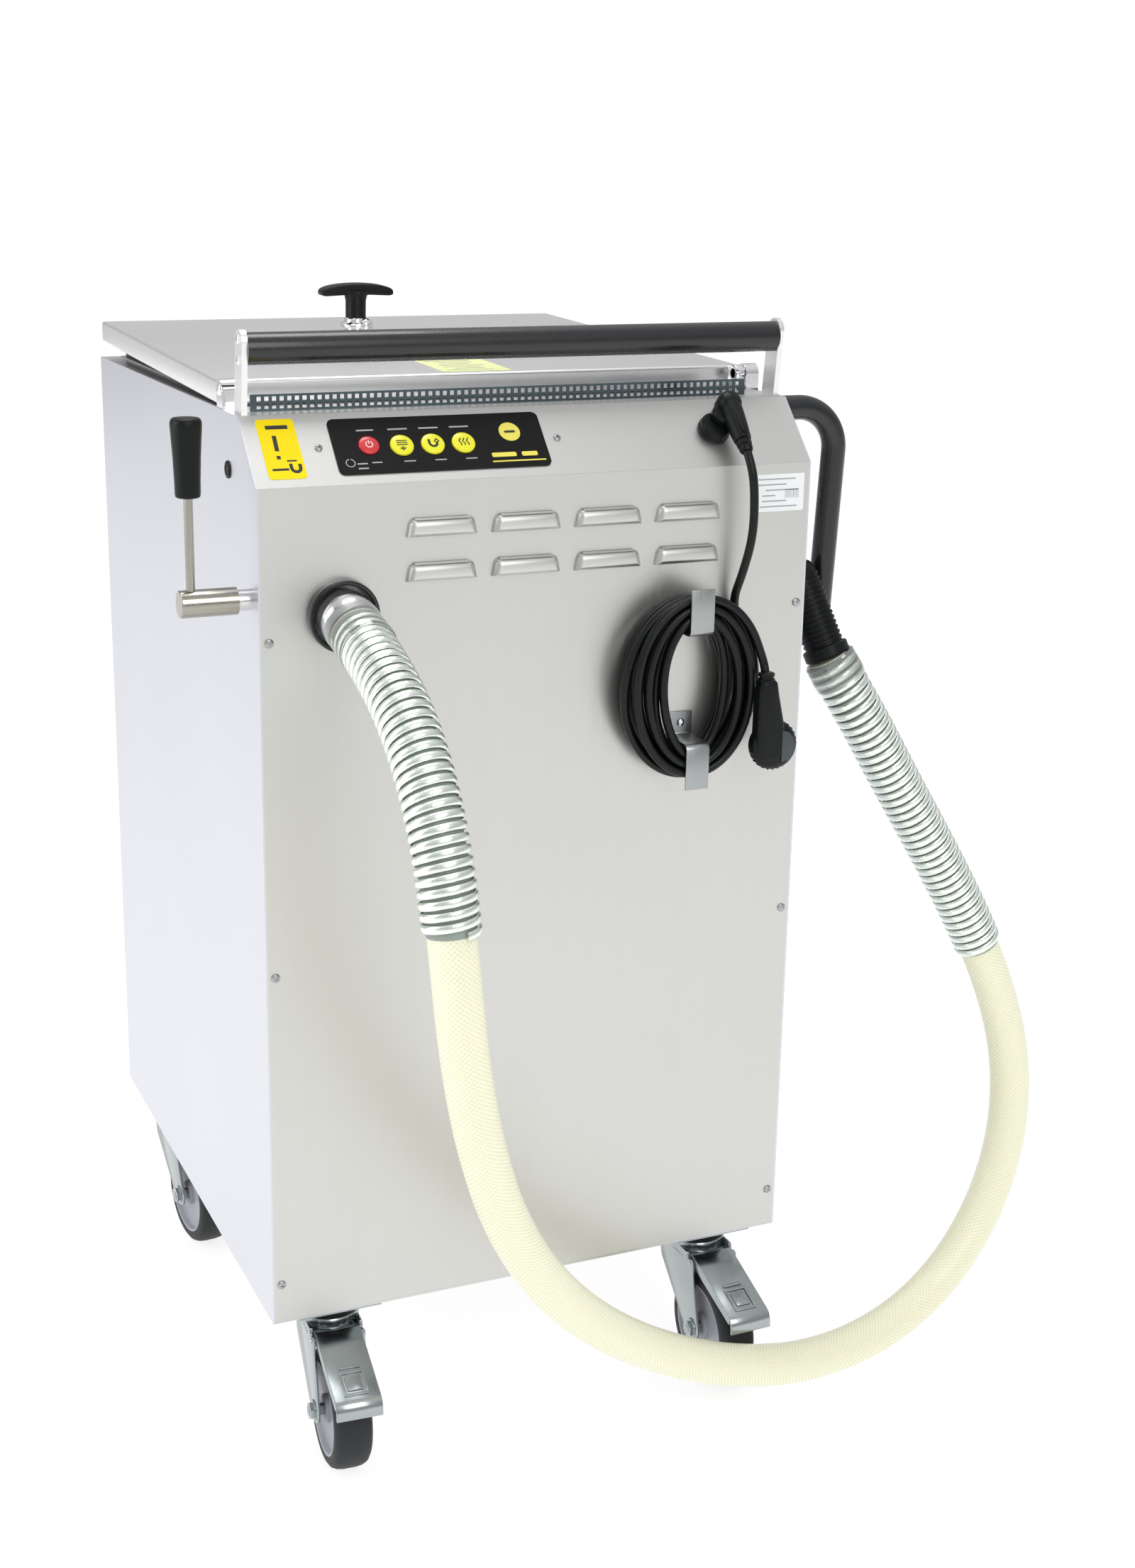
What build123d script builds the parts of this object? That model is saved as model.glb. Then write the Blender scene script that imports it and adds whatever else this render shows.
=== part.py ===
"""Mobile oil filter trolley: a stainless cabinet on four swivel castors.

A hinged lid covers the oil tank, a sloped fascia carries the buttons, and an
oil hose runs from the front port to a lance that is stowed on the right side.

Frame: millimetres, +Z up, the floor at Z = 0, the origin under the cabinet's
centre, the front panel facing -Y and the oil valve's lever on the -X side.
"""

import os
from math import cos, hypot, radians, sin, tan

from build123d import *

# ---------------------------------------------------------------- dimensions
WIDTH = 460.0  # cabinet, side to side
DEPTH = 512.0  # cabinet, front to back
BASE_Z = 136.0  # underside of the cabinet above the floor
FOLD_Z = 814.0  # where the front panel meets the sloped fascia
TOP_Z = 861.0  # top deck
SLOPE_RUN = 45.5  # how far the fascia leans back
SHEET = 1.5  # stainless sheet thickness

HALF_W = WIDTH / 2
FRONT_Y = -DEPTH / 2
BACK_Y = DEPTH / 2
IN_W = WIDTH - 2 * SHEET
FASCIA_RISE = TOP_Z - FOLD_Z
FASCIA_LEN = hypot(SLOPE_RUN, FASCIA_RISE)
FLANGE_BACK_Y = -186.0  # rear edge of the flange above the fascia

# louvres, pressed out of the front panel
LOUVRE_W, LOUVRE_H, LOUVRE_OUT = 57.5, 17.0, 6.5
LOUVRE_PITCH_X, LOUVRE_PITCH_Z = 69.0, 33.8
LOUVRE_X, LOUVRE_Z = 16.6, 762.4  # centre of the four-by-two field

# hose port
PORT_X, PORT_Z = -166.0, 717.0
PORT_HOLE_R = 23.8
PORT_DROOP = 17.0  # degrees that the coupling points below level

# lid and its hinge
HINGE_Y, HINGE_Z = -158.0, 875.0
LID_TILT = 1.7  # degrees, higher at the back
LID_X0, LID_X1 = -228.0, 220.0
LID_FRONT_Y = -149.5
LID_FRONT_Z = 881.0
LID_LEN = 406.0
LID_SKIRT = 18.5
PIN_R = 4.0
PIN_CLEARANCE = 0.05

# tank, hanging from the top deck
TANK_X0, TANK_X1 = -206.0, 200.0
TANK_Y0, TANK_Y1 = -132.0, 236.0
TANK_FLOOR_Z = 520.0
TANK_LIP = 8.0

# push handle
BAR_Y, BAR_Z, BAR_R = -202.0, 909.0, 12.0
UPRIGHT_X = 221.0  # inner face of each upright
UPRIGHT_T, UPRIGHT_W = 4.5, 19.0
UPRIGHT_FOOT_Y = -196.0

# lever of the oil valve
LEVER_Y, LEVER_Z = -236.0, 729.0
SHAFT_R = 4.0
ROD_X = -275.0

# cord hooks and the coiled mains cord
COIL_X, COIL_Z = 120.3, 641.7
COIL_OUT_X, COIL_OUT_Z = 65.0, 79.5
COIL_IN_X, COIL_IN_Z = 23.2, 52.5
COIL_DEPTH = 28.5
COIL_BACK_Y = FRONT_Y - 3.0
CORD_D = 7.0

# oil hose
HOSE_D = 35.5
GUARD_D = 43.5

# castors: swivel centres and how far each is turned at rest, in degrees
CASTORS = {
    "front_left": (-172.0, -218.5, -4.0),
    "front_right": (172.0, -218.5, 1.0),
    "rear_left": (-190.0, 192.5, 6.0),
    "rear_right": (190.0, 192.5, -8.0),
}
WHEEL_R, WHEEL_W = 50.0, 32.0
TRAIL = 40.0
AXLE_R = 5.0
STEM_R = 8.0
CROWN_Z = 112.0

# pump set under the tank
PUMP_Y, PUMP_Z = 0.0, 214.0
PUMP_X = -75.0
PUMP_OUTLET = 58.0  # reach of the pump's outlet boss from its axis

os.makedirs("parts", exist_ok=True)


def write(name, part):
    """Label a finished piece and write it as parts/NAME.step."""
    part.label = name
    export_step(part, f"parts/{name}.step")


def sheet_box(x0, x1, y0, y1, z0, z1):
    """A rectangular solid given by its low and high corners."""
    with BuildPart() as block:
        with BuildSketch(Plane.XY.offset(z0)):
            with Locations(((x0 + x1) / 2, (y0 + y1) / 2)):
                Rectangle(x1 - x0, y1 - y0)
        extrude(amount=z1 - z0)
    return block.part


def side_profile(x0, x1, points):
    """A sheet whose outline is given as (y, z) points, from x0 to x1."""
    with BuildPart() as panel:
        with BuildSketch(Plane.YZ.offset(x0)):
            with BuildLine():
                Polyline(*points, close=True)
            make_face()
        extrude(amount=x1 - x0)
    return panel.part


def unit(a, b):
    """Unit vector from point a to point b."""
    return (Vector(*b) - Vector(*a)).normalized()


def corner_radii(points):
    """The largest tangent arc that each corner of a route allows."""
    radii = []
    for before, here, after in zip(points, points[1:], points[2:]):
        run_in, run_out = Vector(*here) - Vector(*before), Vector(*after) - Vector(*here)
        half_turn = radians(run_in.get_angle(run_out) / 2)
        radii.append(0.45 * min(run_in.length, run_out.length) / tan(half_turn))
    return radii


def tube_along(points, radii, outer_r, inner_r=0.0):
    """A round tube swept along straight runs joined by tangent arcs."""
    with BuildPart() as tube:
        with BuildLine() as path:
            FilletPolyline(*points, radius=radii)
        start = Plane(origin=path.line @ 0, z_dir=path.line % 0)
        with BuildSketch(start):
            Circle(outer_r)
            if inner_r:
                Circle(inner_r, mode=Mode.SUBTRACT)
        sweep(path=path.line)
    return tube.part


def rod(start, end, radius):
    """A straight round rod between two points."""
    with BuildPart() as bar:
        with BuildSketch(Plane(origin=start, z_dir=unit(start, end))):
            Circle(radius)
        extrude(amount=(Vector(*end) - Vector(*start)).length)
    return bar.part


# ------------------------------------------------------------ cabinet panels
SIDE_OUTLINE = [
    (FRONT_Y, BASE_Z),
    (BACK_Y, BASE_Z),
    (BACK_Y, TOP_Z),
    (FRONT_Y + SLOPE_RUN, TOP_Z),
    (FRONT_Y, FOLD_Z),
]
BUSH_R = 8.0

with BuildPart() as left_panel:
    add(side_profile(-HALF_W, -HALF_W + SHEET, SIDE_OUTLINE))
    with BuildSketch(Plane.YZ.offset(-HALF_W)):
        with Locations((LEVER_Y, LEVER_Z)):
            Circle(BUSH_R)
    extrude(amount=SHEET, mode=Mode.SUBTRACT)
write("left_panel", left_panel.part)

with BuildPart() as right_panel:
    add(side_profile(HALF_W - SHEET, HALF_W, SIDE_OUTLINE))
write("right_panel", right_panel.part)

with BuildPart() as back_panel:
    add(sheet_box(-IN_W / 2, IN_W / 2, BACK_Y - SHEET, BACK_Y, BASE_Z + 3.0, TOP_Z - SHEET))
    with BuildSketch(Plane.XZ.offset(-BACK_Y)):
        with Locations((0, 300)):
            with GridLocations(60, 14, 5, 6):
                SlotOverall(44, 6)
    extrude(amount=SHEET, mode=Mode.SUBTRACT)
write("back_panel", back_panel.part)

with BuildPart() as front_panel:
    add(sheet_box(-IN_W / 2, IN_W / 2, FRONT_Y, FRONT_Y + SHEET, BASE_Z + 3.0, FOLD_Z - SHEET))
    with BuildSketch(Plane.XZ.offset(-FRONT_Y)) as hood_field:
        with Locations((LOUVRE_X, LOUVRE_Z)):
            with GridLocations(LOUVRE_PITCH_X, LOUVRE_PITCH_Z, 4, 2):
                Rectangle(LOUVRE_W, LOUVRE_H)
    extrude(amount=LOUVRE_OUT, taper=22)
    with BuildSketch(Plane.XZ.offset(-FRONT_Y - SHEET)):
        with Locations((LOUVRE_X, LOUVRE_Z - 1.0)):
            with GridLocations(LOUVRE_PITCH_X, LOUVRE_PITCH_Z, 4, 2):
                Rectangle(LOUVRE_W - 7.0, LOUVRE_H - 3.0)
    extrude(amount=LOUVRE_OUT, taper=16, mode=Mode.SUBTRACT)
    with BuildSketch(Plane.XZ.offset(-FRONT_Y - SHEET)):
        with Locations((PORT_X, PORT_Z)):
            Circle(PORT_HOLE_R)
    extrude(amount=2 * SHEET, mode=Mode.SUBTRACT)
write("front_panel", front_panel.part)

# fascia: the plane's x runs along the cabinet and its y runs up the slope
FASCIA = Plane(
    origin=(0, FRONT_Y, FOLD_Z),
    x_dir=(1, 0, 0),
    z_dir=(0, -FASCIA_RISE, SLOPE_RUN),
)
BUTTONS = {
    "power_button": (-136.3, 33.6, 8.0),
    "drain_button": (-110.5, 32.4, 9.2),
    "return_button": (-85.8, 32.4, 9.2),
    "heat_button": (-61.1, 32.4, 9.2),
}
BUTTON_GAP = 0.3
OVERLAY_X, OVERLAY_S = -79.0, 33.7
OVERLAY_W, OVERLAY_L, OVERLAY_T = 170.0, 50.5, 1.0
INLET_X, INLET_S, INLET_R, INLET_H = 152.5, 34.0, 12.5, 9.0

with BuildPart() as control_fascia:
    normal_y, normal_z = FASCIA_RISE / FASCIA_LEN, -SLOPE_RUN / FASCIA_LEN
    add(
        side_profile(
            -IN_W / 2,
            IN_W / 2,
            [
                (FRONT_Y, FOLD_Z),
                (FRONT_Y + SLOPE_RUN, TOP_Z),
                (FLANGE_BACK_Y, TOP_Z),
                (FLANGE_BACK_Y, TOP_Z - SHEET),
                (FRONT_Y + SLOPE_RUN + 0.6, TOP_Z - SHEET),
                (FRONT_Y + SHEET * normal_y, FOLD_Z + SHEET * normal_z),
            ],
        )
    )
    with BuildSketch(FASCIA):
        for button_x, button_s, button_r in BUTTONS.values():
            with Locations((button_x, button_s)):
                Circle(button_r + BUTTON_GAP)
        with Locations((INLET_X, INLET_S)):
            Circle(9.0)
    extrude(amount=-3 * SHEET, mode=Mode.SUBTRACT)
write("control_fascia", control_fascia.part)

with BuildPart() as top_deck:
    add(sheet_box(-IN_W / 2, IN_W / 2, FLANGE_BACK_Y, BACK_Y - SHEET, TOP_Z - SHEET, TOP_Z))
    with BuildSketch(Plane.XY.offset(TOP_Z - SHEET)):
        with Locations(((TANK_X0 + TANK_X1) / 2, (TANK_Y0 + TANK_Y1) / 2)):
            Rectangle(TANK_X1 - TANK_X0, TANK_Y1 - TANK_Y0)
    extrude(amount=SHEET, mode=Mode.SUBTRACT)
write("top_deck", top_deck.part)

with BuildPart() as base_plate:
    add(sheet_box(-IN_W / 2, IN_W / 2, FRONT_Y, BACK_Y, BASE_Z, BASE_Z + 3.0))
    with BuildSketch(Plane.XY.offset(BASE_Z)):
        for castor_x, castor_y, _ in CASTORS.values():
            with Locations((castor_x, castor_y)):
                Circle(STEM_R)
    extrude(amount=3.0, mode=Mode.SUBTRACT)
write("base_plate", base_plate.part)

# fasteners: the front panel's edge screws, two fascia screws and a blanking plug
# on the left side
SCREW_R, SCREW_HEAD = 3.6, 1.4
with BuildPart() as panel_fixings:
    with BuildSketch(Plane.XZ.offset(-FRONT_Y)):
        for screw_z in (170.5, 435.0, 699.5):
            with Locations((-222.5, screw_z), (222.5, screw_z)):
                Circle(SCREW_R)
    extrude(amount=SCREW_HEAD)
    fillet(panel_fixings.faces().sort_by(Axis.Y)[:6].edges(), 0.8)
    with BuildSketch(FASCIA):
        with Locations((-175.0, 34.0), (17.0, 34.0)):
            Circle(SCREW_R)
    extrude(amount=SCREW_HEAD)
    with BuildSketch(Plane.YZ.offset(-HALF_W)):
        with Locations((-182.6, 818.1)):
            Circle(6.8)
    extrude(amount=-2.0)
    fillet(panel_fixings.faces().sort_by(Axis.X)[0].edges(), 1.2)
write("panel_fixings", panel_fixings.part)

# perforated vent strip on the flange, in front of the lid
STRIP_X0, STRIP_X1, STRIP_H = -213.0, 205.0, 12.5
HOLE_PITCH, HOLE_SIDE = 5.95, 3.6
with BuildPart() as vent_strip:
    add(sheet_box(STRIP_X0, STRIP_X1, FLANGE_BACK_Y, FLANGE_BACK_Y + 1.2, TOP_Z, TOP_Z + STRIP_H))
    with BuildSketch(Plane.XZ.offset(-FLANGE_BACK_Y - 1.2)):
        with Locations(((STRIP_X0 + STRIP_X1) / 2, TOP_Z + STRIP_H / 2)):
            with GridLocations(HOLE_PITCH, 5.6, 69, 2):
                Rectangle(HOLE_SIDE, HOLE_SIDE)
    extrude(amount=1.2, mode=Mode.SUBTRACT)
write("vent_strip", vent_strip.part)

# ------------------------------------------------------------------- buttons
with BuildPart() as control_overlay:
    with BuildSketch(FASCIA):
        with Locations((OVERLAY_X, OVERLAY_S)):
            RectangleRounded(OVERLAY_W, OVERLAY_L, 5.0)
        for button_x, button_s, button_r in BUTTONS.values():
            with Locations((button_x, button_s)):
                Circle(button_r + BUTTON_GAP, mode=Mode.SUBTRACT)
    extrude(amount=OVERLAY_T)
write("control_overlay", control_overlay.part)

for button_name, (button_x, button_s, button_r) in BUTTONS.items():
    with BuildPart() as button:
        with BuildSketch(FASCIA.offset(-4.0)):
            with Locations((button_x, button_s)):
                Circle(button_r)
        extrude(amount=4.0 + OVERLAY_T + 1.6)
        fillet(button.edges().group_by(Axis((0, 0, 0), FASCIA.z_dir))[-1], 0.9)
    write(button_name, button.part)

# ---------------------------------------------------------- lid and its hinge
LID_PLANE = Plane(
    origin=(0, LID_FRONT_Y, LID_FRONT_Z),
    x_dir=(1, 0, 0),
    z_dir=(0, -sin(radians(LID_TILT)), cos(radians(LID_TILT))),
)
LID_MID_X = (LID_X0 + LID_X1) / 2
LID_W = LID_X1 - LID_X0
BRACKET_X = 217.0  # inner face of each hinge bracket
BRACKET_W = 12.0
BRACKET_R = 8.0

with BuildPart() as lid:
    with BuildSketch(LID_PLANE):
        with Locations((LID_MID_X, LID_LEN / 2)):
            Rectangle(LID_W, LID_LEN)
    extrude(amount=-LID_SKIRT)
    with BuildSketch(LID_PLANE.offset(-SHEET)):
        with Locations((LID_MID_X, LID_LEN / 2)):
            Rectangle(LID_W - 2 * SHEET, LID_LEN - 2 * SHEET)
    extrude(amount=-LID_SKIRT, mode=Mode.SUBTRACT)
    # hinge lugs on the front skirt, one inboard of each bracket
    for lug_x in (-BRACKET_X, BRACKET_X - 8.0):
        with BuildSketch(Plane.YZ.offset(lug_x)):
            with Locations((HINGE_Y, HINGE_Z)):
                Circle(7.0)
            with Locations(((HINGE_Y + LID_FRONT_Y + 0.7) / 2, HINGE_Z)):
                Rectangle(LID_FRONT_Y + 0.7 - HINGE_Y, 10.0)
        extrude(amount=8.0)
    # hinge pins, from each lug outwards through its bracket
    for pin_x, pin_way in ((-BRACKET_X, -1), (BRACKET_X, 1)):
        with BuildSketch(Plane.YZ.offset(pin_x)):
            with Locations((HINGE_Y, HINGE_Z)):
                Circle(PIN_R)
        extrude(amount=pin_way * (BRACKET_W - 1.0))
write("lid", lid.part)

with BuildPart() as hinge_brackets:
    for bracket_x in (-BRACKET_X - BRACKET_W, BRACKET_X + 0.3):
        with BuildSketch(Plane.YZ.offset(bracket_x)):
            with Locations((HINGE_Y, HINGE_Z)):
                Circle(BRACKET_R)
            with Locations((HINGE_Y, (TOP_Z + HINGE_Z) / 2)):
                Rectangle(2 * BRACKET_R, HINGE_Z - TOP_Z)
            with Locations((HINGE_Y, HINGE_Z)):
                Circle(PIN_R + PIN_CLEARANCE, mode=Mode.SUBTRACT)
        extrude(amount=BRACKET_W - 0.3)
write("hinge_brackets", hinge_brackets.part)

# wedge-shaped seal under the lid: flat below, following the lid above
RIM_TOP_Z = TOP_Z + SHEET
SEAL_LOW_Z = RIM_TOP_Z + 0.3
SEAL_INSET, SEAL_W = 14.0, 12.0


def lid_underside(y):
    """Height of the lid sheet's inner face at depth y."""
    along = (y - LID_FRONT_Y) * tan(radians(LID_TILT))
    return LID_FRONT_Z + along - SHEET / cos(radians(LID_TILT))


def seal_block(inset):
    """Wedge between the tank's rim and the lid, set in from the tank's edge."""
    y0, y1 = TANK_Y0 - 4.0 + inset, TANK_Y1 + 4.0 - inset
    return side_profile(
        TANK_X0 - 4.0 + inset,
        TANK_X1 + 4.0 - inset,
        [
            (y0, SEAL_LOW_Z),
            (y1, SEAL_LOW_Z),
            (y1, lid_underside(y1)),
            (y0, lid_underside(y0)),
        ],
    )


with BuildPart() as lid_gasket:
    add(seal_block(0.0))
    add(seal_block(SEAL_W), mode=Mode.SUBTRACT)
write("lid_gasket", lid_gasket.part)

# lifting handle: a chrome boss and a black tee
HANDLE_X, HANDLE_V = -24.5, 277.5  # on the lid's plane
BOSS_H, STEM_TOP, TEE_TOP = 14.0, 33.5, 44.5
TEE_PLANE = Plane(
    LID_PLANE.from_local_coords(Vector(HANDLE_X, HANDLE_V, 0)), (1, 0, 0), LID_PLANE.z_dir
)
with BuildPart() as lid_handle_boss:
    with BuildSketch(TEE_PLANE):
        Circle(11.0)
    extrude(amount=4.0)
    with BuildSketch(TEE_PLANE.offset(4.0)):
        Circle(14.0)
    extrude(amount=5.0)
    with BuildSketch(TEE_PLANE.offset(9.0)):
        Circle(11.5)
    extrude(amount=BOSS_H - 9.0)
    chamfer(lid_handle_boss.edges().group_by(Axis((0, 0, 0), LID_PLANE.z_dir))[-1], 1.5)
write("lid_handle_boss", lid_handle_boss.part)

with BuildPart() as lid_handle:
    with BuildSketch(TEE_PLANE.offset(BOSS_H)):
        Circle(9.3)
    extrude(amount=STEM_TOP + 3.0 - BOSS_H)
    with BuildSketch(
        Plane(TEE_PLANE.from_local_coords(Vector(0, 7.5, 0)), (1, 0, 0), -TEE_PLANE.y_dir)
    ):
        with BuildLine():
            Line((-31.5, STEM_TOP), (31.5, STEM_TOP))
            Line((31.5, STEM_TOP), (34.0, STEM_TOP + 5.5))
            ThreePointArc((34.0, STEM_TOP + 5.5), (0, TEE_TOP), (-34.0, STEM_TOP + 5.5))
            Line((-34.0, STEM_TOP + 5.5), (-31.5, STEM_TOP))
        make_face()
    extrude(amount=15.0)
write("lid_handle", lid_handle.part)

# ------------------------------------------------------------- push handle
with BuildPart() as handle_uprights:
    for upright_x in (-UPRIGHT_X - UPRIGHT_T, UPRIGHT_X):
        with BuildSketch(Plane.YZ.offset(upright_x)):
            with BuildLine():
                Polyline(
                    (UPRIGHT_FOOT_Y - UPRIGHT_W / 2, TOP_Z),
                    (UPRIGHT_FOOT_Y + UPRIGHT_W / 2, TOP_Z),
                    (BAR_Y + UPRIGHT_W / 2, BAR_Z + 5.0),
                    (BAR_Y - UPRIGHT_W / 2, BAR_Z + 5.0),
                    close=True,
                )
            make_face()
            with Locations((BAR_Y, BAR_Z + 5.0)):
                Circle(UPRIGHT_W / 2)
        extrude(amount=UPRIGHT_T)
write("handle_uprights", handle_uprights.part)

with BuildPart() as push_bar:
    with BuildSketch(Plane.YZ.offset(-UPRIGHT_X)):
        with Locations((BAR_Y, BAR_Z)):
            Circle(BAR_R)
            Circle(BAR_R - 2.5, mode=Mode.SUBTRACT)
    extrude(amount=2 * UPRIGHT_X)
write("push_bar", push_bar.part)

# ------------------------------------------------------ oil valve and lever
VALVE_X0, VALVE_X1 = -210.0, -140.0
VALVE_Y0, VALVE_Y1 = -246.0, -196.0
STUB_END_Y = FRONT_Y - 0.4  # the outlet's stub meets the hose coupling here
BORE_CLEARANCE = 0.05
with BuildPart() as lever_bush:
    with BuildSketch(Plane.YZ.offset(-HALF_W + SHEET + 8.0)):
        with Locations((LEVER_Y, LEVER_Z)):
            Circle(BUSH_R)
            Circle(SHAFT_R + BORE_CLEARANCE, mode=Mode.SUBTRACT)
    extrude(amount=-20.0)
write("lever_bush", lever_bush.part)

with BuildPart() as selector_valve:
    add(sheet_box(VALVE_X0, VALVE_X1, VALVE_Y0, VALVE_Y1, 692.0, 754.0))
    with BuildSketch(Plane.XZ.offset(-VALVE_Y0)):
        with Locations((PORT_X, PORT_Z)):
            Circle(19.0)
    extrude(amount=VALVE_Y0 - STUB_END_Y)
    with BuildSketch(Plane.YZ.offset(VALVE_X0)):
        with Locations((LEVER_Y, LEVER_Z)):
            Circle(SHAFT_R + BORE_CLEARANCE)
    extrude(amount=24.0, mode=Mode.SUBTRACT)
write("selector_valve", selector_valve.part)

HUB_X0, HUB_X1 = -284.0, -241.0
with BuildPart() as valve_lever:
    with BuildSketch(Plane.YZ.offset(HUB_X1)):
        with Locations((LEVER_Y, LEVER_Z)):
            Circle(10.3)
    extrude(amount=HUB_X0 - HUB_X1)
    fillet(valve_lever.faces().sort_by(Axis.X)[0].edges(), 0.8)
    with BuildSketch(Plane.YZ.offset(HUB_X1)):
        with Locations((LEVER_Y, LEVER_Z)):
            Circle(SHAFT_R)
    extrude(amount=VALVE_X0 + 22.0 - HUB_X1)
    with BuildSketch(Plane(origin=(ROD_X, LEVER_Y, LEVER_Z + 5.0))):
        Circle(3.4)
    extrude(amount=85.0)
write("valve_lever", valve_lever.part)

GRIP_Z0, GRIP_Z1 = 807.0, 865.0
with BuildPart() as lever_grip:
    with BuildSketch(Plane(origin=(ROD_X, LEVER_Y, GRIP_Z0))):
        Circle(9.3)
    with BuildSketch(Plane(origin=(ROD_X, LEVER_Y, GRIP_Z1))):
        Circle(11.6)
    loft()
    fillet(lever_grip.faces().sort_by(Axis.Z)[-1].edges(), 3.0)
    with BuildSketch(Plane(origin=(ROD_X, LEVER_Y, GRIP_Z0))):
        Circle(3.4)
    extrude(amount=12.0, mode=Mode.SUBTRACT)
write("lever_grip", lever_grip.part)

# -------------------------------------------------- port, hose and its guards
with BuildPart() as port_ring:
    with BuildSketch(Plane.XZ.offset(-FRONT_Y)):
        with Locations((PORT_X, PORT_Z)):
            Circle(27.5)
            Circle(PORT_HOLE_R, mode=Mode.SUBTRACT)
    extrude(amount=9.0)
    fillet(port_ring.faces().sort_by(Axis.Y)[0].edges(), 1.2)
write("port_ring", port_ring.part)

# the coupling leaves the port squarely, then points down towards the hose
DROOP = radians(PORT_DROOP)
COUPLING_R, COUPLING_BEND_R = 21.5, 60.0
COUPLING_FOOT = Vector(PORT_X, STUB_END_Y, PORT_Z)
COUPLING_ELBOW = COUPLING_FOOT + Vector(0, -13.0, 0)
HOSE_START = COUPLING_ELBOW + Vector(0.03, -cos(DROOP), -sin(DROOP)).normalized() * 21.0
write(
    "hose_coupling",
    tube_along(
        [tuple(COUPLING_FOOT), tuple(COUPLING_ELBOW), tuple(HOSE_START)], [COUPLING_BEND_R], COUPLING_R
    ),
)

HOSE_END = (273.5, -227.0, 643.0)
HOSE_ROUTE = [
    tuple(HOSE_START),
    (-163.4, -342.0, 694.0),
    (-160.5, -392.6, 661.8),
    (-158.5, -431.2, 615.8),
    (-156.5, -454.2, 560.4),
    (-153.0, -461.5, 497.0),
    (-143.0, -455.0, 428.0),
    (-126.5, -443.0, 360.0),
    (-101.0, -426.5, 290.0),
    (-61.0, -406.5, 221.0),
    (-4.0, -385.0, 157.0),
    (68.0, -362.5, 102.0),
    (150.0, -340.5, 58.0),
    (236.0, -319.5, 31.0),
    (321.0, -301.0, 31.0),
    (392.0, -285.5, 60.0),
    (443.0, -273.0, 114.0),
    (470.0, -263.5, 180.0),
    (473.5, -256.5, 252.0),
    (454.0, -250.5, 326.0),
    (419.5, -246.5, 397.0),
    (380.0, -243.3, 465.0),
    (338.5, -239.8, 532.0),
    (308.0, -238.2, 583.0),
    (287.0, -234.0, 617.0),
    HOSE_END,
]
hose_radii = corner_radii(HOSE_ROUTE)
print("hose corner radii in diameters", [round(r / HOSE_D, 1) for r in hose_radii])
hose_part = tube_along(HOSE_ROUTE, hose_radii, HOSE_D / 2)
with BuildLine() as hose_path:
    FilletPolyline(*HOSE_ROUTE, radius=hose_radii)
hose_length = sum(edge.length for edge in hose_path.edges())
section = 3.14159265 * HOSE_D**2 / 4
print("hose length", hose_length, "volume ratio", hose_part.volume / (section * hose_length))
write("oil_hose", hose_part)

GUARD_BORE_R = HOSE_D / 2 + 0.3
outlet_end = Vector(*HOSE_ROUTE[4]) + unit(HOSE_ROUTE[4], HOSE_ROUTE[5]) * 36.0
outlet_guard_route = HOSE_ROUTE[:5] + [tuple(outlet_end)]
write(
    "outlet_hose_guard",
    tube_along(outlet_guard_route, hose_radii[:4], GUARD_D / 2, GUARD_BORE_R),
)
lance_start = Vector(*HOSE_ROUTE[20]) + unit(HOSE_ROUTE[20], HOSE_ROUTE[19]) * 40.0
lance_guard_route = [tuple(lance_start)] + HOSE_ROUTE[20:]
write(
    "lance_hose_guard",
    tube_along(lance_guard_route, hose_radii[19:], GUARD_D / 2, GUARD_BORE_R),
)

# ------------------------------------------------------- lance and its stowage
GRIP_END = (251.0, -199.0, 720.0)
LANCE_X, LANCE_Z = 246.0, 797.0
LANCE_R = 7.0
LANCE_ROUTE = [GRIP_END, (246.0, -178.0, 764.0), (LANCE_X, -84.0, LANCE_Z), (LANCE_X, 96.0, LANCE_Z)]
with BuildPart() as lance_grip:
    grip_plane = Plane(origin=HOSE_END, z_dir=unit(HOSE_END, GRIP_END))
    grip_length = (Vector(*GRIP_END) - Vector(*HOSE_END)).length
    with BuildSketch(grip_plane):
        Circle(19.5)
    extrude(amount=16.0)
    with BuildSketch(grip_plane.offset(16.0)):
        Circle(17.0)
    extrude(amount=grip_length - 16.0)
    chamfer(lance_grip.edges().group_by(Axis((0, 0, 0), grip_plane.z_dir))[-1], 5.0)
write("lance_grip", lance_grip.part)

with BuildPart() as lance_tube:
    with BuildLine() as lance_path:
        FilletPolyline(*LANCE_ROUTE, radius=[14.0, 30.0])
    with BuildSketch(Plane(origin=GRIP_END, z_dir=unit(*LANCE_ROUTE[:2]))):
        Circle(LANCE_R)
    sweep(path=lance_path.line)
write("lance_tube", lance_tube.part)

with BuildPart() as lance_holders:
    for holder_y in (-40.0, 60.0):
        add(sheet_box(HALF_W, HALF_W + 27.0, holder_y - 8.0, holder_y + 8.0, LANCE_Z - 14.0, LANCE_Z + 9.0))
    with BuildSketch(Plane.XZ.offset(60.0)):
        with Locations((LANCE_X, LANCE_Z)):
            Circle(LANCE_R + 0.1)
        with Locations((LANCE_X, LANCE_Z + 10.0)):
            Rectangle(2 * LANCE_R + 0.2, 20.0)
    extrude(amount=-150.0, mode=Mode.SUBTRACT)
write("lance_holders", lance_holders.part)

HOOK_Y, HOOK_Z = -194.0, 849.5
HOOK_ROUTE = [(HALF_W + 3.0, HOOK_Y, HOOK_Z), (289.5, HOOK_Y, HOOK_Z), (281.5, HOOK_Y + 2.0, 655.0)]
with BuildPart() as hose_hook:
    add(tube_along(HOOK_ROUTE, [36.0], 10.2))
    with BuildSketch(Plane.YZ.offset(HALF_W)):
        with Locations((HOOK_Y, HOOK_Z)):
            Circle(11.2)
    extrude(amount=3.0)
write("hose_hook", hose_hook.part)

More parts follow.
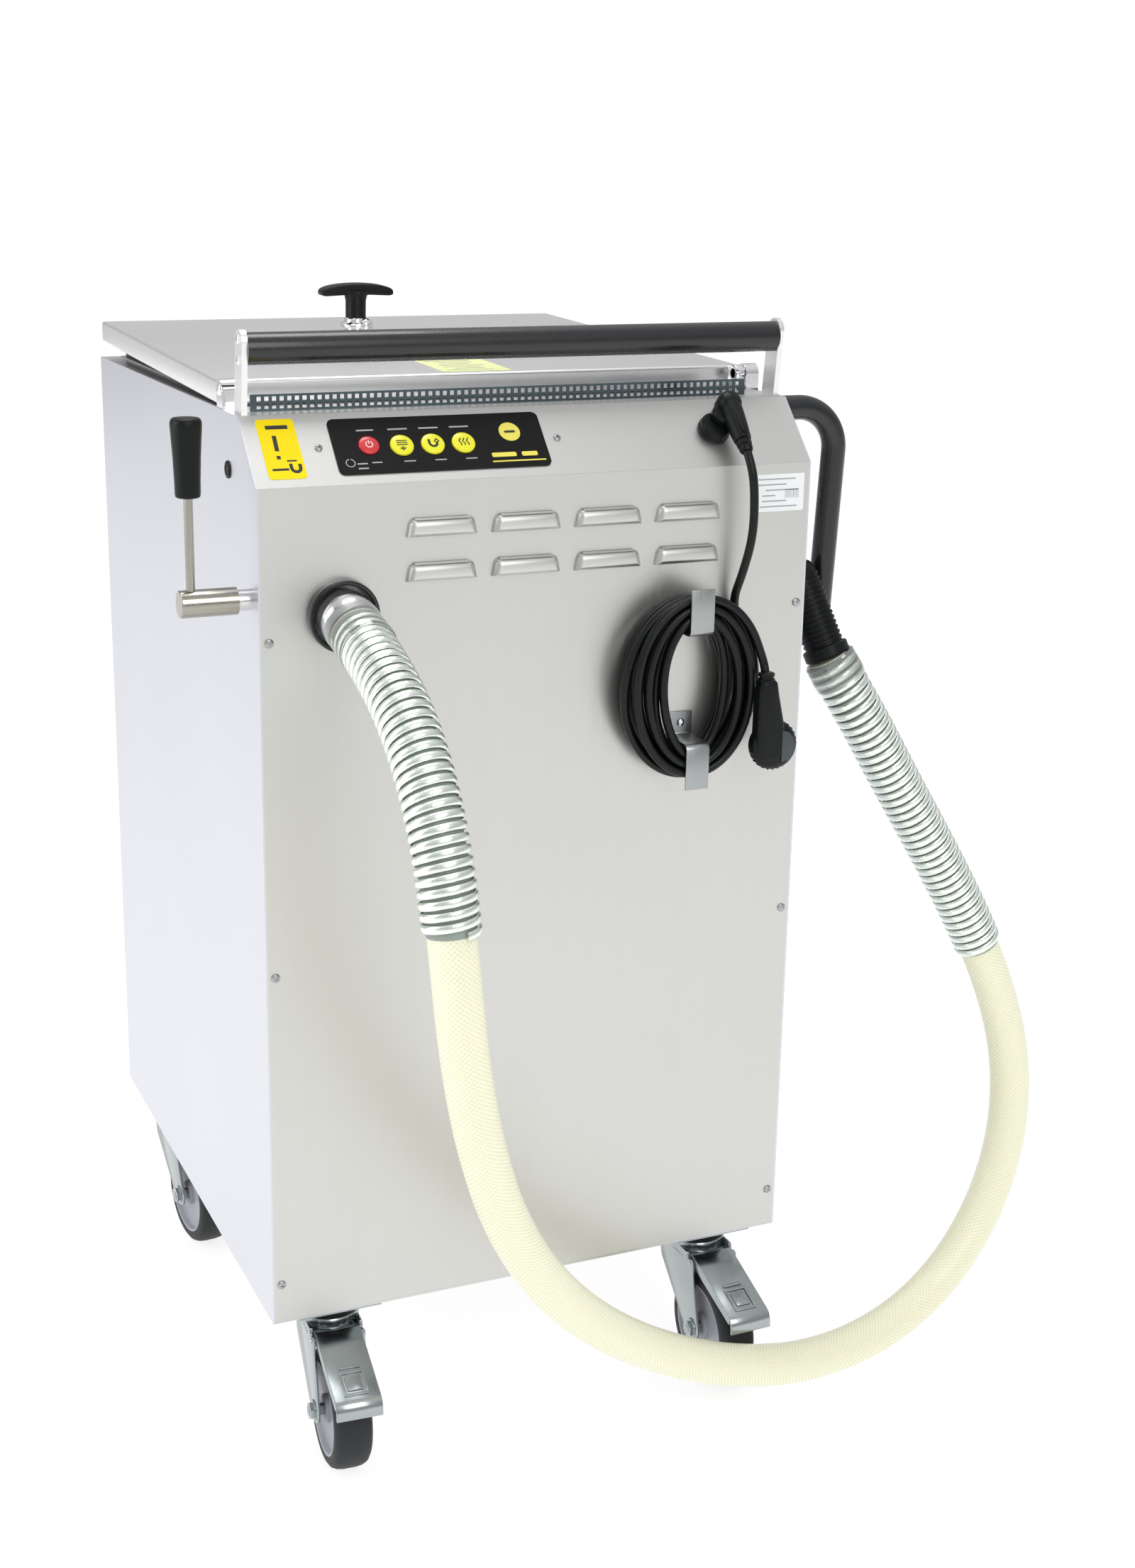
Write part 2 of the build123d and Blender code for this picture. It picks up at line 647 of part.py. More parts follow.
# ------------------------------------------------- power inlet, cord and plug
with BuildPart() as power_inlet:
    with BuildSketch(FASCIA):
        with Locations((INLET_X, INLET_S)):
            Circle(INLET_R)
    extrude(amount=INLET_H)
    with BuildSketch(FASCIA):
        with Locations((INLET_X, INLET_S)):
            Circle(8.6)
    extrude(amount=-14.0)
write("power_inlet", power_inlet.part)

PLUG_X, PLUG_H = 164.5, 17.6  # connector's centre line on the fascia
CONNECTOR_TOP_S, CONNECTOR_END_S = 48.0, 0.0
CONNECTOR_END = FASCIA.from_local_coords(Vector(PLUG_X, CONNECTOR_END_S, PLUG_H))
with BuildPart() as inlet_plug:
    cap_origin = FASCIA.from_local_coords(Vector(PLUG_X, CONNECTOR_TOP_S, PLUG_H))
    with BuildSketch(Plane(origin=cap_origin, z_dir=-FASCIA.y_dir)):
        Circle(8.5)
    with BuildSketch(Plane(origin=CONNECTOR_END, z_dir=-FASCIA.y_dir)):
        Circle(6.0)
    loft()
    with BuildSketch(FASCIA.offset(INLET_H)):
        with Locations((PLUG_X, CONNECTOR_TOP_S)):
            Circle(10.0)
        with Locations(((PLUG_X + INLET_X) / 2, (CONNECTOR_TOP_S + INLET_S) / 2)):
            Rectangle(17.0, 15.0)
    extrude(amount=17.0)
write("inlet_plug", inlet_plug.part)

CORD_START = tuple(CONNECTOR_END)
CORD_ROUTE = [
    CORD_START,
    (165.5, CORD_START[1] - 8.0, CORD_START[2] - 12.0),
    (168.0, -277.5, 792.0),
    (168.3, -277.0, 761.0),
    (164.0, -271.0, 731.0),
    (159.0, -264.0, 707.0),
]
cord_radii = corner_radii(CORD_ROUTE)
print("cord corner radii in diameters", [round(r / CORD_D, 1) for r in cord_radii])
write("mains_cord", tube_along(CORD_ROUTE, cord_radii, CORD_D / 2))

with BuildPart() as mains_cord_coil:
    with BuildSketch(Plane.XZ.offset(-COIL_BACK_Y)):
        with Locations((COIL_X, COIL_Z)):
            Ellipse(COIL_OUT_X, COIL_OUT_Z)
            Ellipse(COIL_IN_X, COIL_IN_Z, mode=Mode.SUBTRACT)
    extrude(amount=COIL_DEPTH)
write("mains_cord_coil", mains_cord_coil.part)

COIL_FRONT_Y = COIL_BACK_Y - COIL_DEPTH
DISC_X, DISC_Z, DISC_R = 184.6, 592.8, 20.0
with BuildPart() as mains_plug:
    with BuildSketch(Plane.XZ.offset(-COIL_FRONT_Y)):
        with Locations((DISC_X, DISC_Z)):
            Circle(DISC_R)
    extrude(amount=15.0)
    with BuildSketch(Plane.XZ.offset(-COIL_FRONT_Y)):
        with BuildLine():
            Polyline(
                (DISC_X - 19.0, DISC_Z),
                (DISC_X + 8.0, DISC_Z),
                (182.5, 648.0),
                (168.0, 648.0),
                close=True,
            )
        make_face()
    extrude(amount=16.0)
    with BuildSketch(Plane.XZ.offset(-COIL_FRONT_Y)):
        with Locations((DISC_X, DISC_Z)):
            with GridLocations(1, 19.0, 1, 2):
                Circle(2.4)
    extrude(amount=-19.0)
write("mains_plug", mains_plug.part)

# two bent strips that carry the coil
HOOK_W, HOOK_T = 20.5, 2.0
HOOK_FOOT = 22.0  # reach of the foot up the panel
HOOK_X = 119.5


def cord_hook(z_foot, z_tip):
    """A Z-shaped strip: foot on the panel, ledge through the coil, lip in front."""
    rise = 1 if z_tip > z_foot else -1
    lip_y = COIL_FRONT_Y - 0.4
    left_x = HOOK_X - HOOK_W / 2
    right_x = HOOK_X + HOOK_W / 2
    low, high = sorted((z_foot, z_foot + rise * HOOK_T))
    lip_low, lip_high = sorted((z_foot, z_tip))
    with BuildPart() as strip:
        add(sheet_box(left_x, right_x, lip_y - HOOK_T, FRONT_Y, low, high))
        add(sheet_box(left_x, right_x, FRONT_Y - HOOK_T, FRONT_Y, low, low + HOOK_FOOT))
        add(sheet_box(left_x, right_x, lip_y - HOOK_T, lip_y, lip_low, lip_high))
    return strip.part


# the ledges stay inside the coil's oval opening at the strip's full width
HOOK_REACH = COIL_IN_Z * (1 - ((HOOK_W / 2 + 1.0) / COIL_IN_X) ** 2) ** 0.5 - HOOK_T - 0.4
with BuildPart() as cord_hooks:
    add(cord_hook(COIL_Z + HOOK_REACH, COIL_Z + COIL_OUT_Z + 2.0))
    add(cord_hook(COIL_Z - HOOK_REACH, COIL_Z - COIL_OUT_Z - 2.0))
write("cord_hooks", cord_hooks.part)

# ------------------------------------------------------------ tank and basket
BASKET_Z0, BASKET_Z1 = 700.0, 850.0
BASKET_GAP = 16.0
LEDGE_REACH = 26.0  # ledges on the tank's side walls that the basket rests on
with BuildPart() as oil_tank:
    add(sheet_box(TANK_X0 + 0.5, TANK_X1 - 0.5, TANK_Y0 + 0.5, TANK_Y1 - 0.5, TANK_FLOOR_Z, RIM_TOP_Z))
    with BuildSketch(Plane.XY.offset(TANK_FLOOR_Z + SHEET)):
        with Locations(((TANK_X0 + TANK_X1) / 2, (TANK_Y0 + TANK_Y1) / 2)):
            Rectangle(TANK_X1 - TANK_X0 - 4.0, TANK_Y1 - TANK_Y0 - 4.0)
    extrude(amount=RIM_TOP_Z - TANK_FLOOR_Z, mode=Mode.SUBTRACT)
    with BuildSketch(Plane.XY.offset(TOP_Z)):
        with Locations(((TANK_X0 + TANK_X1) / 2, (TANK_Y0 + TANK_Y1) / 2)):
            Rectangle(TANK_X1 - TANK_X0 + 2 * TANK_LIP, TANK_Y1 - TANK_Y0 + 2 * TANK_LIP)
            Rectangle(TANK_X1 - TANK_X0 - 4.0, TANK_Y1 - TANK_Y0 - 4.0, mode=Mode.SUBTRACT)
    extrude(amount=SHEET)
    with BuildSketch(Plane.XY.offset(TANK_FLOOR_Z)):
        with Locations((PUMP_X, PUMP_Y)):
            Circle(11.0)
    extrude(amount=SHEET, mode=Mode.SUBTRACT)
    for ledge_x0, ledge_x1 in (
        (TANK_X0 + 1.0, TANK_X0 + LEDGE_REACH),
        (TANK_X1 - LEDGE_REACH, TANK_X1 - 1.0),
    ):
        add(sheet_box(ledge_x0, ledge_x1, -80.0, 180.0, BASKET_Z0 - 3.0, BASKET_Z0))
write("oil_tank", oil_tank.part)

with BuildPart() as filter_basket:
    add(
        sheet_box(
            TANK_X0 + BASKET_GAP,
            TANK_X1 - BASKET_GAP,
            TANK_Y0 + BASKET_GAP,
            TANK_Y1 - BASKET_GAP,
            BASKET_Z0,
            BASKET_Z1,
        )
    )
    with BuildSketch(Plane.XY.offset(BASKET_Z0 + SHEET)):
        with Locations(((TANK_X0 + TANK_X1) / 2, (TANK_Y0 + TANK_Y1) / 2)):
            Rectangle(
                TANK_X1 - TANK_X0 - 2 * BASKET_GAP - 2 * SHEET,
                TANK_Y1 - TANK_Y0 - 2 * BASKET_GAP - 2 * SHEET,
            )
    extrude(amount=BASKET_Z1, mode=Mode.SUBTRACT)
    with BuildSketch(Plane.XY.offset(BASKET_Z0)):
        with Locations(((TANK_X0 + TANK_X1) / 2, (TANK_Y0 + TANK_Y1) / 2)):
            with GridLocations(34.0, 34.0, 10, 9):
                Circle(4.0)
    extrude(amount=SHEET, mode=Mode.SUBTRACT)
write("filter_basket", filter_basket.part)

# ------------------------------------------------------------------- pump set
with BuildPart() as pump_body:
    with BuildSketch(Plane.YZ.offset(PUMP_X - 34.0)):
        with Locations((PUMP_Y, PUMP_Z)):
            Circle(50.0)
    extrude(amount=68.0)
    fillet(pump_body.edges().filter_by(GeomType.CIRCLE), 4.0)
    with BuildSketch(Plane.XY.offset(PUMP_Z)):
        with Locations((PUMP_X, PUMP_Y)):
            Circle(17.0)
    extrude(amount=62.0)
    with BuildSketch(Plane.XZ.offset(-PUMP_Y)):
        with Locations((PUMP_X, PUMP_Z)):
            Circle(15.0)
    extrude(amount=PUMP_OUTLET)
write("pump_body", pump_body.part)

MOTOR_X0, MOTOR_X1 = PUMP_X + 34.0, PUMP_X + 214.0
with BuildPart() as pump_motor:
    with BuildSketch(Plane.YZ.offset(MOTOR_X0)):
        with Locations((PUMP_Y, PUMP_Z)):
            Circle(62.0)
    extrude(amount=MOTOR_X1 - MOTOR_X0)
    fillet(pump_motor.edges().filter_by(GeomType.CIRCLE), 6.0)
    with BuildSketch(Plane.XY.offset(BASE_Z + 3.0)):
        with Locations(((MOTOR_X0 + MOTOR_X1) / 2, PUMP_Y)):
            Rectangle(120.0, 110.0)
    extrude(amount=30.0)
write("pump_motor", pump_motor.part)

DELIVERY_ROUTE = [
    (PUMP_X, PUMP_Y - PUMP_OUTLET, PUMP_Z),
    (PUMP_X, -160.0, PUMP_Z),
    (-165.0, -162.0, PUMP_Z + 60.0),
    (-165.0, -162.0, PORT_Z),
    (-165.0, VALVE_Y1, PORT_Z),
]
with BuildPart() as oil_pipes:
    with BuildSketch(Plane.XY.offset(PUMP_Z + 62.0)):
        with Locations((PUMP_X, PUMP_Y)):
            Circle(10.9)
            Circle(9.0, mode=Mode.SUBTRACT)
    extrude(amount=TANK_FLOOR_Z + SHEET - PUMP_Z - 62.0)
    add(tube_along(DELIVERY_ROUTE, [30.0, 30.0, 16.0], 10.0, 8.0))
write("oil_pipes", oil_pipes.part)


# -------------------------------------------------------------------- castors
def castor_plane(x, y, turn):
    """Vertical plane set of one castor: its -Y points along the trail."""
    return Plane(origin=(x, y, 0), x_dir=(cos(radians(turn)), sin(radians(turn)), 0), z_dir=(0, 0, 1))


def side_plane(base, offset):
    """Plane across a castor, at an offset along its axle, x back and y up."""
    origin = base.from_local_coords(Vector(offset, 0, 0))
    return Plane(origin=origin, x_dir=base.y_dir, z_dir=base.x_dir)


FORK_IN, FORK_OUT = 19.5, 22.5
# brake pedal, in the fork's side view: y back, z up
PEDAL_PIVOT = (-33.0, 110.0)
PEDAL_EAR_R, PEDAL_PIN_R = 4.0, 2.5
PEDAL_OUTLINE = [
    (-33.0, 110.5),
    (-99.0, 86.5),
    (-101.0, 76.0),
    (-103.5, 76.5),
    (-102.0, 89.5),
    (-33.0, 114.0),
]
with BuildPart() as castor_plates:
    for castor_x, castor_y, _ in CASTORS.values():
        with BuildSketch(Plane.XY.offset(BASE_Z - 3.0)):
            with Locations((castor_x, castor_y)):
                Rectangle(70.0, 70.0)
        extrude(amount=3.0)
        with BuildSketch(Plane.XY.offset(CROWN_Z - 8.0)):
            with Locations((castor_x, castor_y)):
                Circle(STEM_R)
        extrude(amount=BASE_Z + 3.0 - CROWN_Z + 8.0)
write("castor_plates", castor_plates.part)

for castor_name, (castor_x, castor_y, castor_turn) in CASTORS.items():
    base = castor_plane(castor_x, castor_y, castor_turn)
    braked = castor_name.startswith("front")
    with BuildPart() as fork:
        with BuildSketch(base.offset(BASE_Z - 3.3)):
            Circle(27.0)
        extrude(amount=-(BASE_Z - 3.3 - CROWN_Z), taper=8)
        with BuildSketch(base.offset(CROWN_Z - 4.0)):
            with Locations((0, -3.0)):
                Rectangle(2 * FORK_OUT, 50.0)
        extrude(amount=4.0)
        for leg_offset in (-FORK_OUT, FORK_IN):
            with BuildSketch(side_plane(base, leg_offset)):
                with Locations((-3.0, CROWN_Z - 4.0)):
                    Rectangle(50.0, 8.0)
                with Locations((-TRAIL, WHEEL_R)):
                    Circle(11.0)
                if braked:
                    with Locations(PEDAL_PIVOT):
                        Circle(PEDAL_EAR_R)
                make_hull()
            extrude(amount=FORK_OUT - FORK_IN)
        with BuildSketch(base.offset(CROWN_Z - 9.0)):
            Circle(STEM_R + 0.05)
        extrude(amount=BASE_Z - CROWN_Z + 9.0, mode=Mode.SUBTRACT)
        with BuildSketch(side_plane(base, -FORK_OUT)):
            with Locations((-TRAIL, WHEEL_R)):
                Circle(AXLE_R)
        extrude(amount=2 * FORK_OUT, mode=Mode.SUBTRACT)
        if braked:
            with BuildSketch(side_plane(base, -FORK_OUT)):
                with Locations(PEDAL_PIVOT):
                    Circle(PEDAL_PIN_R + 0.05)
            extrude(amount=2 * FORK_OUT, mode=Mode.SUBTRACT)
    write(f"{castor_name}_fork", fork.part)

    with BuildPart() as axle:
        with BuildSketch(side_plane(base, -FORK_OUT)):
            with Locations((-TRAIL, WHEEL_R)):
                Circle(AXLE_R)
        extrude(amount=2 * FORK_OUT)
        for head_offset, head_way in ((-FORK_OUT, -1), (FORK_OUT, 1)):
            with BuildSketch(side_plane(base, head_offset)):
                with Locations((-TRAIL, WHEEL_R)):
                    RegularPolygon(7.5, 6)
            extrude(amount=head_way * 4.5)
    write(f"{castor_name}_axle", axle.part)

    with BuildPart() as wheel:
        with BuildSketch(side_plane(base, -WHEEL_W / 2)):
            with Locations((-TRAIL, WHEEL_R)):
                Circle(WHEEL_R)
        extrude(amount=WHEEL_W)
        fillet(wheel.edges().filter_by(GeomType.CIRCLE), 7.0)
        for recess_offset, recess_way in ((-WHEEL_W / 2, 1), (WHEEL_W / 2, -1)):
            with BuildSketch(side_plane(base, recess_offset)):
                with Locations((-TRAIL, WHEEL_R)):
                    Circle(36.0)
                    Circle(11.0, mode=Mode.SUBTRACT)
            extrude(amount=recess_way * 6.0, mode=Mode.SUBTRACT)
        with BuildSketch(side_plane(base, -WHEEL_W / 2)):
            with Locations((-TRAIL, WHEEL_R)):
                Circle(AXLE_R + 0.05)
        extrude(amount=WHEEL_W, mode=Mode.SUBTRACT)
    write(f"{castor_name}_wheel", wheel.part)

    if braked:
        with BuildPart() as pedal:
            with BuildSketch(side_plane(base, -FORK_IN + 0.3)):
                with BuildLine():
                    Polyline(*PEDAL_OUTLINE, close=True)
                make_face()
                with Locations(PEDAL_PIVOT):
                    Circle(PEDAL_EAR_R)
            extrude(amount=2 * FORK_IN - 0.6)
            with BuildSketch(side_plane(base, -FORK_OUT)):
                with Locations(PEDAL_PIVOT):
                    Circle(PEDAL_PIN_R)
            extrude(amount=2 * FORK_OUT)
        write(f"{castor_name}_brake_pedal", pedal.part)
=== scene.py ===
"""Mobile oil filter trolley: its visible pieces, their finishes, the studio and the camera.

Everything stands in the trolley's own frame: the floor at zero height, the front panel facing -Y
and the lance on the +X side. Sizes are in millimetres, and in metres for the studio, the routes
and the cords.
"""

import logging
import math
from dataclasses import dataclass, field
from enum import Enum

import bpy
from mathutils import Matrix, Vector


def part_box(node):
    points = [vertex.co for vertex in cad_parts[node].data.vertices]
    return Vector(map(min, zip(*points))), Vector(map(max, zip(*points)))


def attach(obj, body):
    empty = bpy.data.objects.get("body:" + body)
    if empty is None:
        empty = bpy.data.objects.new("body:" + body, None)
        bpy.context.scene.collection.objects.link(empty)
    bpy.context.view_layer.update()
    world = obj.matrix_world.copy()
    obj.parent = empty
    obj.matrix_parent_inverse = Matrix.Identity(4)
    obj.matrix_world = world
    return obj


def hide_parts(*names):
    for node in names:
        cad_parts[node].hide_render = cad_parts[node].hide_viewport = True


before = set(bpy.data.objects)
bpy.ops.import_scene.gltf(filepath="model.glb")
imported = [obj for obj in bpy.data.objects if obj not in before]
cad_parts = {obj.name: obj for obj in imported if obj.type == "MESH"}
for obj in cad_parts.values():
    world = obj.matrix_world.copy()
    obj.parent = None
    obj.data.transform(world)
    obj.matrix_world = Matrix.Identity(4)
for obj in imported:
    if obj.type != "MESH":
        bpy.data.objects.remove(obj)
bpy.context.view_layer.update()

LOG = logging.getLogger("oil_filter_trolley")
MM = 0.001
CABINET = "cabinet"

Point = tuple[float, float, float]
Outline = list[tuple[float, float]]
Profile = list[tuple[float, float]]


# ------------------------------------------------------------------ places and outlines
@dataclass(frozen=True)
class Seat:
    """A place to model on: an origin and two directions, with the third square to both.

    Attributes:
        origin: Where the seat lies, in millimetres.
        x: Direction of the seat's first axis.
        y: Direction of the seat's second axis.
    """

    origin: Vector
    x: Vector = Vector((1, 0, 0))
    y: Vector = Vector((0, 1, 0))

    @property
    def z(self) -> Vector:
        """Direction square to the seat's plane."""
        return self.x.cross(self.y).normalized()

    def at(self, a: float, b: float, c: float = 0.0) -> Vector:
        """Point given in the seat's own coordinates, in millimetres."""
        return self.origin + self.x * a + self.y * b + self.z * c

    def moved(self, a: float, b: float, c: float = 0.0) -> "Seat":
        """The same directions at another place on or above the seat."""
        return Seat(self.at(a, b, c), self.x, self.y)

    def matrix(self) -> Matrix:
        """Matrix that carries a piece from the world's origin onto the seat."""
        turn = Matrix((self.x, self.y, self.z)).transposed().to_4x4()
        return Matrix.Translation(self.origin * MM) @ turn

    @staticmethod
    def along(origin: Vector, direction: Vector) -> "Seat":
        """A seat whose square direction points a given way.

        Args:
            origin: Where the seat lies.
            direction: Where its square direction points.

        Returns:
            The seat.
        """
        z = direction.normalized()
        side = Vector((0, 0, 1)) if abs(z.z) < 0.9 else Vector((1, 0, 0))
        x = side.cross(z).normalized()
        return Seat(origin, x, z.cross(x).normalized())


FRONT = Seat(Vector((0, -256, 0)), Vector((1, 0, 0)), Vector((0, 0, 1)))
FASCIA_UP = Vector((0, 45.5, 47.0)).normalized()
FASCIA = Seat(Vector((0, -256, 814)), Vector((1, 0, 0)), FASCIA_UP)
HINGE_Y, HINGE_Z = -158.0, 875.0
HOSE_START: Point = (-0.1654, -0.2895, 0.7109)
LID_TILT = math.radians(1.7)
LID_TOP = Seat(
    Vector((0, -149.5, 881)), Vector((1, 0, 0)), Vector((0, math.cos(LID_TILT), math.sin(LID_TILT)))
)


def rounded_rectangle(width: float, height: float, radius: float, steps: int = 6) -> Outline:
    """Outline of a rectangle with round corners, centred on its seat.

    Args:
        width: Full width.
        height: Full height.
        radius: Radius of the corners.
        steps: Number of flats in each corner.

    Returns:
        The closed outline.
    """
    outline = []
    for quarter, (sx, sy) in enumerate(((1, 1), (-1, 1), (-1, -1), (1, -1))):
        cx, cy = sx * (width / 2 - radius), sy * (height / 2 - radius)
        for step in range(steps + 1):
            angle = math.pi / 2 * (quarter + step / steps)
            outline.append((cx + radius * math.cos(angle), cy + radius * math.sin(angle)))
    return outline


def ribbon(line: Outline, width: float) -> Outline:
    """Outline of an even band drawn along an open line.

    Args:
        line: Points of the open line.
        width: Full width of the band.

    Returns:
        The closed outline.
    """
    left, right = [], []
    for i, (a, b) in enumerate(line):
        before, after = line[max(i - 1, 0)], line[min(i + 1, len(line) - 1)]
        run, rise = after[0] - before[0], after[1] - before[1]
        size = math.hypot(run, rise)
        side_a, side_b = -rise / size * width / 2, run / size * width / 2
        left.append((a + side_a, b + side_b))
        right.append((a - side_a, b - side_b))
    return left + right[::-1]


def arc(radius: float, start: float, end: float, steps: int = 14) -> Outline:
    """Points of an arc about the seat's origin, with its angles in degrees.

    Args:
        radius: Radius of the arc.
        start: Angle of its first point.
        end: Angle of its last point.
        steps: Number of flats.

    Returns:
        The points in order.
    """
    return [
        (
            radius * math.cos(math.radians(start + (end - start) * i / steps)),
            radius * math.sin(math.radians(start + (end - start) * i / steps)),
        )
        for i in range(steps + 1)
    ]


def node_box(node: str) -> tuple[Vector, Vector]:
    """Lowest and highest corner of a CAD node, in millimetres."""
    low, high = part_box(node)
    return low / MM, high / MM


# ------------------------------------------------------------------ modelling moves
class Bench:
    """The modelling moves that every sub-assembly uses."""

    @staticmethod
    def deselect() -> None:
        """Leaves nothing selected and no piece being edited."""
        if bpy.context.object and bpy.context.object.mode != "OBJECT":
            bpy.ops.object.mode_set(mode="OBJECT")
        bpy.ops.object.select_all(action="DESELECT")

    @classmethod
    def pick(cls, piece: bpy.types.Object) -> None:
        """Selects one piece and makes it active.

        Args:
            piece: The piece to select.
        """
        cls.deselect()
        piece.select_set(True)
        bpy.context.view_layer.objects.active = piece

    @staticmethod
    def named(name: str) -> bpy.types.Object:
        """Gives the piece just made its name.

        Args:
            name: Its name.

        Returns:
            The piece.
        """
        piece = bpy.context.object
        piece.name = name
        piece.data.name = name
        return piece

    @classmethod
    def settle(cls, piece: bpy.types.Object, seat: Seat) -> bpy.types.Object:
        """Carries a piece onto its seat and leaves the place in its mesh.

        Args:
            piece: A piece made at the world's origin.
            seat: Where it goes.

        Returns:
            The same piece.
        """
        cls.pick(piece)
        piece.matrix_world = seat.matrix()
        bpy.ops.object.transform_apply(location=True, rotation=True, scale=True)
        return piece

    @staticmethod
    def face_out() -> None:
        """Turns every face of the piece being edited outwards and leaves edit mode."""
        bpy.ops.mesh.select_all(action="SELECT")
        bpy.ops.mesh.remove_doubles(threshold=1e-6)
        bpy.ops.mesh.normals_make_consistent(inside=False)
        bpy.ops.object.mode_set(mode="OBJECT")

    @classmethod
    def box(cls, name: str, low: Point, high: Point) -> bpy.types.Object:
        """A block given by its low and high corners.

        Args:
            name: Name of the piece.
            low: Lowest corner.
            high: Highest corner.

        Returns:
            The block.
        """
        cls.deselect()
        a, b = Vector(low), Vector(high)
        bpy.ops.mesh.primitive_cube_add(size=1, location=(a + b) / 2 * MM)
        piece = cls.named(name)
        piece.scale = (b - a) * MM
        bpy.ops.object.transform_apply(location=True, rotation=True, scale=True)
        return piece

    @classmethod
    def turned(cls, name: str, seat: Seat, profile: Profile, sides: int = 64) -> bpy.types.Object:
        """A round piece raised from its seat.

        Args:
            name: Name of the piece.
            seat: Foot of the piece, whose square direction is the axis.
            profile: Radius and height of each ring, from the foot up.
            sides: Number of flats around.

        Returns:
            The closed round piece.
        """
        cls.deselect()
        bpy.ops.mesh.primitive_circle_add(vertices=sides, radius=profile[0][0] * MM, fill_type="NGON")
        piece = cls.named(name)
        bpy.ops.object.mode_set(mode="EDIT")
        bpy.ops.mesh.select_all(action="SELECT")
        bpy.ops.transform.translate(value=(0, 0, profile[0][1] * MM))
        for (old_r, old_h), (new_r, new_h) in zip(profile, profile[1:]):
            bpy.ops.mesh.extrude_region_move(
                TRANSFORM_OT_translate={"value": (0, 0, (new_h - old_h) * MM)}
            )
            growth = new_r / old_r
            bpy.ops.transform.resize(value=(growth, growth, 1), center_override=(0, 0, new_h * MM))
        cls.face_out()
        return cls.settle(piece, seat)

    @classmethod
    def slab(cls, name: str, seat: Seat, outline: Outline, depth: float) -> bpy.types.Object:
        """A flat piece of any outline, raised from its seat.

        Args:
            name: Name of the piece.
            seat: Plane of the outline.
            outline: Corners in the seat's own coordinates.
            depth: Thickness away from the seat.

        Returns:
            The slab.
        """
        cls.deselect()
        bpy.ops.mesh.primitive_circle_add(vertices=len(outline), radius=MM, fill_type="NGON")
        piece = cls.named(name)
        for vertex, (a, b) in zip(piece.data.vertices, outline):
            vertex.co = (a * MM, b * MM, 0)
        bpy.ops.object.mode_set(mode="EDIT")
        bpy.ops.mesh.select_all(action="SELECT")
        bpy.ops.mesh.extrude_region_move(TRANSFORM_OT_translate={"value": (0, 0, depth * MM)})
        cls.face_out()
        return cls.settle(piece, seat)

    @classmethod
    def bar(
        cls, seat: Seat, width: float, height: float, corner: float, depth: float = 0.15
    ) -> bpy.types.Object:
        """One printed bar with round corners, raised a little from its seat."""
        return cls.slab("bar", seat, rounded_rectangle(width, height, corner), depth)

    @classmethod
    def from_faces(cls, name: str, verts: list[Vector], faces: list[tuple[int, ...]]) -> bpy.types.Object:
        """A closed piece from its points and faces, with every face turned outwards.

        Args:
            name: Name of the piece.
            verts: Its points, in metres.
            faces: Indices of the corners of each face.

        Returns:
            The piece.
        """
        mesh = bpy.data.meshes.new(name)
        mesh.from_pydata([tuple(vert) for vert in verts], [], faces)
        piece = bpy.data.objects.new(name, mesh)
        bpy.context.scene.collection.objects.link(piece)
        cls.pick(piece)
        bpy.ops.object.mode_set(mode="EDIT")
        bpy.ops.mesh.select_all(action="SELECT")
        bpy.ops.mesh.normals_make_consistent(inside=False)
        bpy.ops.object.mode_set(mode="OBJECT")
        return piece

    @classmethod
    def apply(cls, piece: bpy.types.Object, kind: str, **settings: object) -> bpy.types.Object:
        """Adds a modifier with its settings and applies it.

        Args:
            piece: The piece to change.
            kind: Type of the modifier.
            **settings: Values of its settings.

        Returns:
            The same piece.
        """
        cls.pick(piece)
        modifier = piece.modifiers.new(kind.title(), kind)
        for key, value in settings.items():
            setattr(modifier, key, value)
        bpy.ops.object.modifier_apply(modifier=modifier.name)
        return piece

    @classmethod
    def eased(
        cls, piece: bpy.types.Object, width: float, segments: int = 3, angle: float = 35
    ) -> bpy.types.Object:
        """Rounds every edge sharper than an angle.

        Args:
            piece: The piece to round.
            width: Width of the bevel.
            segments: Number of steps in it.
            angle: Smallest angle to round, in degrees.

        Returns:
            The same piece.
        """
        cls.apply(
            piece,
            "BEVEL",
            width=width * MM,
            segments=segments,
            limit_method="ANGLE",
            angle_limit=math.radians(angle),
            use_clamp_overlap=True,
        )
        return cls.smooth(piece)

    @classmethod
    def smooth(cls, piece: bpy.types.Object, angle: float = 40) -> bpy.types.Object:
        """Shades a piece smooth, apart from edges sharper than an angle.

        Args:
            piece: The piece to shade.
            angle: Largest smooth angle, in degrees.

        Returns:
            The same piece.
        """
        cls.pick(piece)
        bpy.ops.object.shade_smooth_by_angle(angle=math.radians(angle))
        return piece

    @classmethod
    def joined(cls, name: str, parts: list[bpy.types.Object]) -> bpy.types.Object:
        """Joins separate shells into one piece.

        Args:
            name: Name of the joined piece.
            parts: The shells to join.

        Returns:
            The joined piece.
        """
        cls.deselect()
        for part in parts:
            part.select_set(True)
        bpy.context.view_layer.objects.active = parts[0]
        if len(parts) > 1:
            bpy.ops.object.join()
        return cls.named(name)

    @classmethod
    def copied(cls, piece: bpy.types.Object, moves: list[Point], name: str) -> bpy.types.Object:
        """Repeats a piece at other places, each copy with its own mesh, and joins them.

        Args:
            piece: The piece to repeat.
            moves: How far each copy is moved.
            name: Name of the joined piece.

        Returns:
            The joined piece.
        """
        parts = [piece]
        for move in moves:
            cls.pick(piece)
            bpy.ops.object.duplicate(linked=False)
            twin = bpy.context.object
            twin.location = Vector(move) * MM
            bpy.ops.object.transform_apply(location=True, rotation=True, scale=True)
            parts.append(twin)
        return cls.joined(name, parts)

